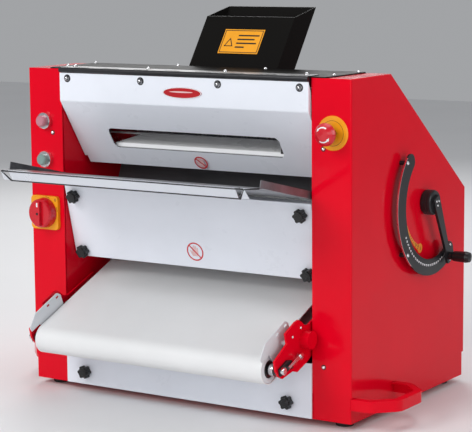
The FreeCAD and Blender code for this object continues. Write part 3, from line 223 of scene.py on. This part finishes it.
def belt_cloth():
    """White woven belt with a smooth food-grade face."""
    m = Nodes("belt_weave")
    m.set(IOR=1.45, Sheen_Weight=0.15)
    warp = m.wave(260, "X")
    weft = m.wave(260, "Y", m.scaled(1, 1, 1, (math.radians(-22.5), 0, 0)))
    m.color(m.tint(m.noise(4, 6), (0.70, 0.705, 0.71), (0.76, 0.765, 0.77)))
    m.rough(m.spread(m.noise(30, 5), 0.45, 0.6))
    m.bump(m.maths("ADD", m.maths("MULTIPLY", warp, weft), m.noise(900, 2)), 0.00012, 0.5)
    return m.material


def ink(name, color):
    """Screen print or a thin label: flat colour with faint mottling."""
    m = Nodes(name)
    m.set(IOR=1.4)
    m.color(m.tint(m.noise(90, 4), darker(color, 0.88), color))
    m.rough(m.spread(m.noise(150, 4), 0.3, 0.45))
    m.bump(m.noise(900, 2), 0.00003, 0.4)
    return m.material


# Border on the tray between the painted reflection on its lip and the painted shade behind it.
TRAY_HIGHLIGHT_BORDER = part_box("catch_tray")[0][1] + 0.0125
# Height below which the dough plate has painted shade.
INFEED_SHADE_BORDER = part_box("catch_tray")[1][2] + 0.0105
MATERIALS = {
    "red_paint": paint("red_enamel", (0.72, 0.0008, 0.014), gloss=0.15, coat=0.05),
    "white_paint": paint("white_enamel", (0.80, 0.83, 0.90), 0.25, 0.4, 0.35),
    "black_paint": paint("black_enamel", (0.009, 0.0085, 0.008), 0.35, 0.45, 0.05, 0.0, ior=1.2),
    "dark_steel": brushed("dark_steel", (0.018, 0.018, 0.021), 0.25, 0.42, 0.3),
    # Stainless: bright in front of the tray lip as a painted reflection, darker and streaked behind it as
    # painted shade and dark reflections.
    "stainless": sheet("stainless_sheet", (0.17, 0.175, 0.19), (0.68, 0.71, 0.76), "Y", TRAY_HIGHLIGHT_BORDER, 0.45),
    # Dough plate: bright above the border as painted light, darker and streaked below it as painted shade.
    "dough_plate": sheet("dough_plate_steel", (0.14, 0.14, 0.15), (0.93, 0.94, 0.95), "Z", INFEED_SHADE_BORDER, 0.0),
    "machined_steel": ground("machined_steel", (0.45, 0.46, 0.48), 0.25, 0.4),
    "screws": ground("screw_steel", (0.80, 0.80, 0.82), 0.12, 0.24),
    "roller_steel": ground("roller_steel", (0.66, 0.67, 0.69), 0.2, 0.32),
    "guide_sheet": paint("guide_sheet_white", (0.70, 0.72, 0.75), 0.35, 0.45, 0.1, 0.0),
    "motor_paint": paint("motor_grey", (0.09, 0.11, 0.14), 0.4, 0.55, 0.4),
    "grey_box": plastic("box_grey", (0.42, 0.43, 0.44)),
    "foot_rubber": plastic("foot_rubber", (0.012, 0.012, 0.012), 0.6, 0.8, 0.0002, 300),
    "gland_plastic": plastic("gland_plastic", (0.015, 0.015, 0.015)),
    "belt_white": belt_cloth(),
    "black_plastic": plastic("black_plastic", (0.007, 0.007, 0.008), 0.25, 0.4),
    "yellow_plastic": plastic("yellow_plastic", (0.88, 0.36, 0.006), 0.3, 0.42),
    "red_plastic": plastic("red_plastic", (0.58, 0.002, 0.014), 0.18, 0.28, coat=0.3),
    "start_lens": plastic("lens_rose", (0.50, 0.20, 0.25), 0.3, 0.45),
    "stop_lens": plastic("lens_green", (0.20, 0.30, 0.28), 0.3, 0.45),
    "badge_red": plastic("badge_red", (0.48, 0.006, 0.012), 0.12, 0.22, coat=0.5),
    "scale_orange": plastic("scale_orange", (0.82, 0.27, 0.02), 0.4, 0.5),
}
INK = {
    "white": ink("print_white", (0.85, 0.86, 0.88)),
    "black": ink("print_black", (0.012, 0.012, 0.012)),
    "red": ink("print_red", (0.62, 0.03, 0.04)),
    "pale_pink": ink("print_pink", (0.78, 0.52, 0.52)),
}
SLOT_OF = {part["node"]: part["material_slot"] for part in frame["record"]["subparts"]}
BEVELS = {
    "catch_tray": 0.0004, "feed_chute": 0.0005, "belt_brackets": 0.0008, "lever_arm": 0.0008,
    "quadrant_plate": 0.0005, "top_plate": 0.0005, "carry_handles": 0.0015, "upper_guard": 0.0004,
}


def finish_nodes():
    for name, item in frame["nodes"].items():
        item.data.materials.clear()
        item.data.materials.append(MATERIALS[SLOT_OF[name]])
        if name in BEVELS:
            bevel = item.modifiers.new("edge", "BEVEL")
            bevel.width = BEVELS[name]
            bevel.segments = 2
            bevel.limit_method = "ANGLE"
            bevel.angle_limit = math.radians(40)
            bevel.harden_normals = False


finish_nodes()


# Small pieces. Each is drawn in millimetres on a local surface: x to the right, y up, z outwards.

MM = 0.001
UP = Vector((0, 0, 1))
FRONT = Vector((0, -1, 0))
RIGHT = Vector((1, 0, 0))
JOINTS = {joint["name"]: joint for joint in frame["record"]["behaviour"]["joints"]}


def axis_of(joint):
    return Vector(JOINTS[joint]["pos_m"])


def corners(node):
    low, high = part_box(node)
    return Vector(low), Vector(high)


def middle(node):
    low, high = corners(node)
    return (low + high) / 2


def facing(origin, normal, up=UP):
    """Local axes on a surface, in millimetres."""
    z_axis = Vector(normal).normalized()
    y_axis = (Vector(up) - z_axis * z_axis.dot(up)).normalized()
    turn = Matrix((y_axis.cross(z_axis), y_axis, z_axis)).transposed()
    return Matrix.Translation(origin) @ turn.to_4x4() @ Matrix.Scale(MM, 4)


def front_of(node):
    """Local axes in the middle of a node's foremost face."""
    centre = middle(node)
    return facing(Vector((centre.x, corners(node)[0].y, centre.z)), FRONT)


def round_points(radius, steps, start=0.0, end=360.0, squash=1.0):
    """Points along an arc; squash flattens it into an ellipse."""
    closed = end - start >= 360
    last = steps if closed else steps - 1
    angles = [math.radians(start + (end - start) * step / last) for step in range(steps)]
    return [(radius * math.cos(angle), radius * squash * math.sin(angle)) for angle in angles]


def shifted(points, x, y):
    return [(x + u, y + v) for u, v in points]


class Piece:
    """One mesh, made of turned and flat shapes, that rides on a body."""

    def __init__(self, name, body, slot, material=None):
        self.name = name
        self.body = body
        self.slot = slot
        self.material = material or MATERIALS[slot]
        self.bm = bmesh.new()

    def point(self, where, x, y, z):
        return self.bm.verts.new(where @ Vector((x, y, z)))

    def bridge(self, rings, closed=True):
        """Joins rings of points with faces; a ring of one point is a tip."""
        steps = max(len(ring) for ring in rings)
        for near, far in zip(rings, rings[1:]):
            for index in range(steps if closed else steps - 1):
                after = (index + 1) % steps
                loop = [near[index % len(near)], near[after % len(near)]]
                loop += [far[after % len(far)], far[index % len(far)]]
                self.bm.faces.new(dict.fromkeys(loop))

    def turned(self, where, profile, at=(0, 0), steps=36, ring=False):
        """A surface of revolution about z from (radius, height) points; a ring's profile is closed."""
        rings = []
        for radius, height in profile:
            if radius == 0:
                rings.append([self.point(where, *at, height)])
            else:
                circle = shifted(round_points(radius, steps), *at)
                rings.append([self.point(where, u, v, height) for u, v in circle])
        if ring:
            rings.append(rings[0])
        self.bridge(rings)

    def flat(self, where, outline, low, high):
        """An outline with a thickness."""
        bottom = [self.point(where, u, v, low) for u, v in outline]
        top = [self.point(where, u, v, high) for u, v in outline]
        self.bridge([bottom, top])
        self.bm.faces.new(top)
        self.bm.faces.new(bottom[::-1])

    def frame(self, where, outer, inner, low, high):
        """The space between two outlines with equally many points."""
        rings = [
            [self.point(where, u, v, height) for u, v in outline]
            for outline, height in ((outer, low), (outer, high), (inner, high), (inner, low))
        ]
        self.bridge(rings + rings[:1])

    def band(self, where, start, end, edges, low, high, lift=None, steps=20):
        """Part of a ring; edges gives its two radii for a share of the way round, lift its height."""
        rows = []
        for step in range(steps + 1):
            share = step / steps
            angle = math.radians(start + (end - start) * share)
            row = []
            for radius, height in zip(edges(share) * 2, (low, low, high, high)):
                rise = height + (lift(radius) if lift else 0)
                row.append(self.point(where, radius * math.cos(angle), radius * math.sin(angle), rise))
            rows.append([row[0], row[1], row[3], row[2]])
        self.bridge(rows)
        self.bm.faces.new(rows[0])
        self.bm.faces.new(rows[-1][::-1])

    def tube(self, points, radius, steps=10):
        """A round bar through points, which are in metres."""
        rings = []
        for index, spot in enumerate(points):
            before = points[max(index - 1, 0)]
            after = points[min(index + 1, len(points) - 1)]
            ahead = (after - before).normalized()
            where = facing(spot, ahead, UP if abs(ahead.z) < 0.9 else RIGHT)
            rings.append([self.point(where, u, v, 0) for u, v in round_points(radius, steps)])
        self.bridge(rings)
        self.bm.faces.new(rings[0][::-1])
        self.bm.faces.new(rings[-1])

    def text(self, where, words, size, x, y, high, turn=0.0):
        """Generic numbers, as raised print."""
        curve = bpy.data.curves.new(self.name + "_text", "FONT")
        curve.body = words
        curve.size = size
        curve.align_x = "CENTER"
        curve.align_y = "CENTER"
        curve.extrude = high / 2
        item = bpy.data.objects.new(self.name + "_text", curve)
        mesh = bpy.data.meshes.new_from_object(item)
        mesh.transform(
            where @ Matrix.Translation((x, y, high / 2)) @ Matrix.Rotation(math.radians(turn), 4, "Z")
        )
        self.bm.from_mesh(mesh)
        bpy.data.meshes.remove(mesh)
        bpy.data.objects.remove(item)
        bpy.data.curves.remove(curve)

    def done(self, crease=35):
        bmesh.ops.recalc_face_normals(self.bm, faces=self.bm.faces)
        mesh = bpy.data.meshes.new(self.name)
        self.bm.to_mesh(mesh)
        self.bm.free()
        mesh.shade_smooth()
        mesh.set_sharp_from_angle(angle=math.radians(crease))
        item = bpy.data.objects.new(self.name, mesh)
        bpy.context.scene.collection.objects.link(item)
        mesh.materials.append(self.material)
        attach(item, self.body)


WASHER = [(1.0, 0.0), (1.32, 0.0), (1.30, 0.1), (1.0, 0.12)]


def screw_trim(name, body, places, radius, normal):
    """A dark washer and a hexagon socket for each domed screw; places are the middles of the domes' feet."""
    piece = Piece(name, body, "black_plastic")
    for place in places:
        where = facing(place, normal, UP if abs(normal.z) < 0.5 else FRONT)
        ring = [(radius * share, radius * height) for share, height in WASHER]
        piece.turned(where, ring, ring=True)
        socket = round_points(radius * 0.34, 6)
        piece.flat(where, socket, radius * 0.8, radius * 0.945)
    piece.done()


def dome(radius, rise=1.0):
    """Half profile of a domed screw head."""
    arc = [(radius * math.cos(a), radius * rise * math.sin(a)) for a in (0, 0.4, 0.8, 1.2)]
    return [(0, -0.2), (radius, -0.2)] + arc + [(0, radius * rise)]


HINGE_SCREWS = [side * place for side in (-1, 1) for place in (0.084, 0.252)]


def all_screws():
    low, high = corners("hinge_moving_leaf")
    guard_y, guard_z = low.y + 0.0055, high.z - 0.0205
    screw_trim("guard_screw_trim", "guard", [Vector((x, guard_y, guard_z)) for x in HINGE_SCREWS], 5.5, FRONT)
    domes = Piece("guard_screw_domes", "guard", "screws")
    for x in HINGE_SCREWS:
        domes.turned(facing(Vector((x, guard_y, guard_z)), FRONT), dome(5.55), steps=24)
    domes.done()
    leaf = corners("hinge_fixed_leaf")[1]
    places = [Vector((x, leaf.y - 0.010, leaf.z)) for x in HINGE_SCREWS]
    screw_trim("leaf_screw_trim", "housing", places, 4, UP)
    face = corners("side_cover_right")[0].y
    top = corners("top_plate")[1]
    floor = corners("base_pan")[0].z
    faces = [Vector((x, face, floor + z)) for x in (-0.295, 0.295) for z in (0.096, 0.478)]
    screw_trim("face_screw_trim", "housing", faces, 3.5, FRONT)
    tops = [Vector((x, top.y - 0.013, top.z)) for x in (-0.291, -0.097, 0.097, 0.291)]
    tops += [Vector((x, top.y - 0.099, top.z)) for x in (-0.291, 0.291)]
    screw_trim("top_screw_trim", "housing", tops, 3.5, UP)


all_screws()


# Gap lever, quadrant and scale

HUB = axis_of("lever_swing")
INDEX_RADIUS = 115
INDEX_STEP = 4
INDEX_HOLES = 23
REST_ANGLE = -65.5


def on_side(x):
    """The right side seen from outside, centred on the lever's axis, x metres from the middle plane."""
    return facing(Vector((x, HUB.y, HUB.z)), RIGHT)


def ring_spot(radius, angle):
    return radius * math.cos(math.radians(angle)), radius * math.sin(math.radians(angle))


def quadrant_details():
    face = corners("quadrant_plate")[1].x
    where = on_side(face)
    bushes = Piece("index_bushes", "housing", "screws")
    bush = [(1.0, -2.5), (2.35, -2.5), (2.35, 0), (2.1, 0.25), (1.3, 0.25), (1.0, 0)]
    for count in range(INDEX_HOLES):
        spot = ring_spot(INDEX_RADIUS, REST_ANGLE - INDEX_STEP * count)
        bushes.turned(where, bush, spot, 16, True)
    bushes.done()
    ends = Piece("quadrant_end_screws", "housing", "screws")
    for angle in (140, 221, 300):
        ends.turned(where, dome(3.6, 0.7), ring_spot(128, angle), 20)
    ends.done()
    edge = Piece("quadrant_bright_edge", "housing", "screws")
    edge.band(where, 137, 232, lambda share: (133.6, 134.3), -2.9, 0.05, steps=48)
    edge.done()


def lever_details():
    arm_face = corners("lever_arm")[1].x
    where = on_side(arm_face)
    screws = Piece("lever_screws", "gap_lever", "screws")
    for angle in (30, 150, 270):
        screws.turned(where, dome(2.2, 0.7), ring_spot(5.2, angle), 18)
    along = Vector(ring_spot(1, REST_ANGLE))
    across = Vector(ring_spot(1, REST_ANGLE + 90))
    for run, side in ((98, 12), (123, 0)):
        spot = along * run + across * side
        screws.turned(where, dome(2.6, 0.7), tuple(spot), 18)
    screws.done()
    collar = Piece("lever_hub_rings", "gap_lever", "dark_steel")
    for back in (4, 9, 14):
        ring = [(22.3, -back), (23.1, -back - 0.4), (23.1, -back - 2.2), (22.3, -back - 2.6)]
        collar.turned(on_side(corners("lever_hub")[1].x), ring, steps=48, ring=True)
    collar.done()


def scale_details():
    """Ticks and numbers on the crescent, which widens from start to end."""
    side = corners("side_cover_right")[1].x
    where = on_side(side)
    start, end = 207, 256

    def edges(share):
        return 78.5 + 1.5 * share, 82 + 9.5 * share ** 1.6

    marks = Piece("gap_scale_marks", "housing", "black_plastic", INK["black"])
    for count in range(8):
        share = 0.25 + 0.09 * count
        inner, outer = edges(share)
        angle = start + (end - start) * share
        tick = (inner + 0.8, (inner + outer) / 2)
        marks.band(where, angle - 0.5, angle + 0.5, lambda share, tick=tick: tick, 0.6, 0.75, steps=1)
    for words, angle in (("1", 243), ("2", 250), ("3", 257)):
        marks.text(where @ Matrix.Translation((0, 0, 0.6)), words, 8, *ring_spot(86, angle), 0.2, angle + 90)
    marks.done()


quadrant_details()
lever_details()
scale_details()


# Controls


def emergency_stop_details():
    centre = middle("emergency_stop_head")
    where = front_of("emergency_stop_head")

    def dome_height(radius):
        return -1 - 4 * (radius - 10) / 7

    def arrow_head(share):
        half = 2.4 * (1 - share) + 0.05
        return 12.7 - half, 12.7 + half

    arrows = Piece("emergency_stop_arrows", "emergency_head", "white_paint", INK["white"])
    for start in (60, 240):
        arrows.band(where, start, start + 75, lambda share: (11.6, 13.8), -0.3, 0.12, dome_height)
        arrows.band(where, start + 74, start + 98, arrow_head, -0.3, 0.12, dome_height)
    arrows.done()
    plate_face = Vector((centre.x, corners("side_cover_right")[0].y - 0.0025, centre.z))
    ring = Piece("emergency_stop_ring", "housing", "black_plastic", INK["black"])
    line = [(21.4, 0), (22, 0), (22, 0.12), (21.4, 0.12)]
    ring.turned(facing(plate_face, FRONT), line, ring=True, steps=64)
    ring.done()


def switch_details():
    centre = middle("main_switch_knob")
    where = front_of("main_switch_knob")
    marks = Piece("main_switch_pointer", "main_switch", "white_paint", INK["white"])
    marks.flat(where, [(-1.6, 13), (1.6, 13), (1.6, 21), (-1.6, 21)], -0.1, 0.15)
    marks.done()
    hole = Piece("main_switch_screw", "main_switch", "black_plastic")
    hole.turned(where, [(0, -0.1), (2.6, -0.1), (2.6, 0.12), (0, 0.12)])
    hole.done()
    plate = facing(Vector((centre.x, corners("side_cover_right")[0].y - 0.007, centre.z)), FRONT)
    digits = Piece("main_switch_numbers", "housing", "black_plastic", INK["black"])
    for words, y in (("1", 0), ("0", 25)):
        digits.text(plate, words, 8, 26, y, 0.15)
    for angle in (75, 15):
        digits.band(plate, angle - 9, angle + 9, lambda share: (30.4, 31.2), 0, 0.12, steps=6)
    digits.done()


def button_details():
    for name, node, slot in (("start", "start_button", "start_lens"), ("stop", "stop_button", "stop_lens")):
        centre = middle(node)
        where = front_of(node)
        cap = Piece(name + "_lens_cap", name, slot)
        ridges = [(0, 0.0)]
        for radius in (2.2, 4.4, 6.6):
            ridges += [(radius - 0.5, -0.3), (radius, 0.0), (radius + 0.5, -0.3)]
        cap.turned(where, [(0, -1.0)] + [(8.2, -1.0), (8.0, -0.2)] + ridges[::-1])
        cap.done()
        rim = Piece(name + "_rim", "housing", "screws")
        face = facing(Vector((centre.x, corners("button_bezels")[0].y, centre.z)), FRONT)
        lobes = 28
        outer = []
        for step in range(lobes * 2):
            radius = 15.6 if step % 2 else 14.9
            outer.append(ring_spot(radius, 180 * step / lobes))
        inner = round_points(14.2, lobes * 2)
        rim.frame(face, outer, inner, -8.5, -1.5)
        rim.done(20)


emergency_stop_details()
switch_details()
button_details()


# Printed signs and trim on the front


def ring_with_bar(name, body, where, radius=19):
    """A red ring with a slanting bar over a plain hand shape."""
    sign = Piece(name, body, "red_plastic", INK["red"])
    inner = radius - 2.6
    ring = [(inner, 0.02), (radius, 0.02), (radius, 0.2), (inner, 0.2)]
    sign.turned(where, ring, ring=True, steps=56)
    half = 1.2
    reach = radius - 1.5
    slope = math.radians(-45)
    bar = []
    for u, v in ((-reach, -half), (reach, -half), (reach, half), (-reach, half)):
        bar.append((u * math.cos(slope) - v * math.sin(slope), u * math.sin(slope) + v * math.cos(slope)))
    sign.flat(where, bar, 0.02, 0.2)
    sign.done()
    field = Piece(name + "_field", body, "white_paint", INK["pale_pink"])
    hand = [(-6, -9), (5, -9), (7, -2), (7, 8), (4.4, 8), (4, 0), (3.4, 11), (0.8, 11), (0.6, 1)]
    hand += [(0, 12), (-2.6, 12), (-2.8, 1), (-3.6, 9), (-6, 9), (-6, -1), (-10, 3), (-11, 1)]
    field.flat(where, hand, 0.02, 0.1)
    field.done()


def front_signs():
    low, high = corners("upper_guard")
    slope_top = Vector((0, low.y, corners("top_plate")[0].z - 0.059))
    slope_foot = Vector((0, high.y - 0.009, low.z))
    down = (slope_foot - slope_top).normalized()
    normal = Vector((0, down.z, -down.y))
    sign_place = slope_top + down * 0.129 + normal * 0.0004
    ring_with_bar("guard_sign", "guard", facing(sign_place, normal, -down), 14)
    knob_axis = Vector(JOINTS["panel_knob_upper_left_turn"]["axis"])
    upper = axis_of("panel_knob_upper_left_turn")
    lower = axis_of("panel_knob_lower_left_turn")
    spot = upper.lerp(lower, 0.82)
    spot.x = 0.009
    ring_with_bar("panel_sign", "housing", facing(spot, knob_axis), 18)


def badge_details():
    low, high = corners("guard_badge")
    where = front_of("guard_badge")
    half = (high.x - low.x) / 2 / MM
    squash = (high.z - low.z) / (high.x - low.x)
    rim = Piece("badge_rim", "guard", "white_paint", INK["white"])
    outer = round_points(half - 0.6, 72, squash=squash)
    inner = round_points(half - 1.8, 72, squash=squash * 0.94)
    rim.frame(where, outer, inner, -0.1, 0.25)
    rim.done()
    # A bright band across the glossy red badge: a painted highlight.
    band = Piece("badge_band", "guard", "white_paint", INK["pale_pink"])
    band.flat(where, shifted(round_points(half * 0.6, 48, squash=squash * 0.22), -2, 1.5), -0.1, 0.2)
    band.done()


def chute_plate_details():
    centre = middle("chute_plate")
    lean = math.radians(35)
    normal = Vector((0, -math.cos(lean), math.sin(lean)))
    where = facing(centre + normal * 0.0004, normal)
    marks = Piece("chute_plate_print", "housing", "black_plastic", INK["black"])
    edge = [(-42, -24.5), (42, -24.5), (42, 24.5), (-42, 24.5)]
    inset = [(-40.6, -23.1), (40.6, -23.1), (40.6, 23.1), (-40.6, 23.1)]
    marks.frame(where, edge, inset, 0, 0.15)
    triangle = [(-36, -11), (-16, -11), (-26, 8)]
    hollow = [(-33, -9.3), (-19, -9.3), (-26, 4.2)]
    marks.frame(where, triangle, hollow, 0, 0.15)
    for row, width in enumerate((46, 38, 44, 20)):
        y = 13 - row * 8.5
        end = width - 10
        marks.flat(where, [(-10, y - 1.5), (end, y - 1.5), (end, y + 1.5), (-10, y + 1.5)], 0, 0.15)
    marks.done()


front_signs()
badge_details()
chute_plate_details()


# Painted shade along the tray's folds, roller ends, bracket screws


def tray_hems():
    low, high = corners("catch_tray")
    # Dark steel strips along the tray lip's fold, lower edge and slanted ends: painted shade and dark
    # reflection in the creases.
    fold_shade_strip = Piece("tray_hems", "housing", "dark_steel")
    fold_y, fold_z = low.y + 0.0016, high.z - 0.0118
    for side in (-1, 1):
        foot = Vector((side * 0.2445, low.y + 0.0125, fold_z - 0.0178))
        fold = Vector((side * 0.2575, fold_y, fold_z))
        back = Vector((side * 0.2672, low.y + 0.034, fold_z - 0.0022))
        fold_shade_strip.tube([foot, fold, back], 1.5)
    for height, reach, depth in ((0.0, 0.2575, 0.0), (-0.0178, 0.2445, 0.0113)):
        y, z = fold_y + depth, fold_z + height
        fold_shade_strip.tube([Vector((-reach, y, z)), Vector((reach, y, z))], 1.5)
    fold_shade_strip.done()


def nose_caps():
    nose = axis_of("nose_spin")
    end = corners("nose_roller")[1].x
    caps = Piece("nose_end_caps", "nose_line", "black_plastic")
    rings = Piece("nose_end_rings", "nose_line", "roller_steel", MATERIALS["guide_sheet"])
    axle = Piece("nose_axle_ends", "housing", "screws")
    for side in (-1, 1):
        where = facing(Vector((side * end, nose.y, nose.z)), RIGHT * side)
        caps.turned(where, [(9.1, 0), (15.5, 0), (15.5, 1.2), (13.5, 2.4), (9.1, 2.4)], ring=True)
        rings.turned(where, [(16, 0), (24.2, 0), (24.2, 1.4), (23.4, 1.9), (16, 1.9)], ring=True, steps=48)
        sleeve = [(8.95, 6), (10.5, 6), (10.5, 14), (8.95, 14)]
        axle.turned(where, sleeve, ring=True)
        axle.turned(where, [(0, 28), (6.5, 28), (6.5, 33), (5.5, 34), (0, 34)])
    caps.done()
    rings.done()
    axle.done()


def bracket_details():
    tilt = math.radians(22.5)
    nose = axis_of("nose_spin")
    along = Vector((0, math.cos(tilt), math.sin(tilt)))
    across = Vector((0, -math.sin(tilt), math.cos(tilt)))
    screws = Piece("bracket_screws", "housing", "screws")
    bolts = Piece("tension_bolts", "housing", "screws")
    for side in (-1, 1):
        plate = facing(Vector((side * 0.268, nose.y, nose.z)), RIGHT * side)
        for u, v in ((58, 31), (87.5, 31)):
            spot = along * u + across * v
            screws.turned(plate, dome(3, 0.6), (spot.y * side, spot.z), 18)
        start = Vector((side * 0.2752, nose.y, nose.z)) + (along * 14 + across * -3) * MM
        finish = start + (along * 46 + across * -3) * MM
        bolts.tube([start, finish], 3.4, 14)
        bolts.tube([finish - (finish - start).normalized() * 0.007, finish], 6.5, 6)
    screws.done()
    bolts.done()


def knob_caps():
    for name in [name for name in frame["bodies"] if "knob" in name]:
        node = name.replace("_body", "")
        joint = node + "_turn"
        spot, axis = axis_of(joint), Vector(JOINTS[joint]["axis"])
        cap = Piece(node + "_cap", name, "black_plastic")
        cap.turned(facing(spot + axis * 0.015, axis), [(0, -0.2), (6, -0.2), (5.6, 0.5), (0, 0.7)], steps=24)
        cap.done()


tray_hems()
nose_caps()
bracket_details()
knob_caps()


# Studio


def look(item, target):
    item.rotation_euler = (Vector(target) - item.location).to_track_quat("-Z", "Y").to_euler()


def area_light(name, place, target, size, power):
    data = bpy.data.lights.new(name, "AREA")
    data.shape = "RECTANGLE"
    data.size, data.size_y = size
    data.energy = power
    lamp = bpy.data.objects.new(name, data)
    bpy.context.scene.collection.objects.link(lamp)
    lamp.location = place
    look(lamp, target)


def studio():
    bm = bmesh.new()
    bmesh.ops.create_grid(bm, x_segments=2, y_segments=2, size=6)
    mesh = bpy.data.meshes.new("floor")
    bm.to_mesh(mesh)
    bm.free()
    floor = bpy.data.objects.new("floor", mesh)
    bpy.context.scene.collection.objects.link(floor)
    m = Nodes("floor_pale")
    m.set(Roughness=0.7)
    m.color(m.tint(m.noise(2, 3), (0.78, 0.78, 0.79), (0.80, 0.80, 0.81)))
    floor.data.materials.append(m.material)
    world = bpy.data.worlds.new("studio")
    world.use_nodes = True
    background = world.node_tree.nodes["Background"]
    background.inputs[0].default_value = (0.9, 0.92, 0.95, 1)
    background.inputs[1].default_value = 0.4
    bpy.context.scene.world = world
    area_light("key", (-0.9, -2.6, 2.2), (0, 0, 0.35), (1.6, 1.2), 48)
    area_light("fill", (0.5, -3.0, 0.9), (0, 0, 0.3), (2.6, 1.2), 22)
    area_light("side", (2.6, -0.4, 1.3), (0.2, 0, 0.35), (1.2, 1.6), 17)
    area_light("top", (0.0, 0.4, 2.8), (0, 0, 0.3), (2.2, 1.6), 22)
    area_light("back", (-1.6, 2.4, 1.8), (0, 0, 0.4), (1.4, 1.2), 25)


def camera():
    """The viewpoint in front and to the right, from its yaw, pitch and roll."""
    yaw, pitch, roll = math.radians(33.12), math.radians(8.5), math.radians(0.52)
    ahead = Vector((-math.sin(yaw) * math.cos(pitch), math.cos(yaw) * math.cos(pitch), -math.sin(pitch)))
    right = Vector((math.cos(yaw), math.sin(yaw), 0))
    down = ahead.cross(right)
    x_axis = math.cos(roll) * right + math.sin(roll) * down
    y_axis = math.sin(roll) * right - math.cos(roll) * down
    data = bpy.data.cameras.new("camera")
    data.lens = 137.4
    data.sensor_width = 36
    view = bpy.data.objects.new("camera", data)
    bpy.context.scene.collection.objects.link(view)
    turn = Matrix((x_axis, y_axis, -ahead)).transposed()
    view.matrix_world = Matrix.Translation((1.8417, -2.7768, 0.8332)) @ turn.to_4x4()
    bpy.context.scene.camera = view


studio()
camera()
bpy.context.scene.view_settings.view_transform = "Standard"
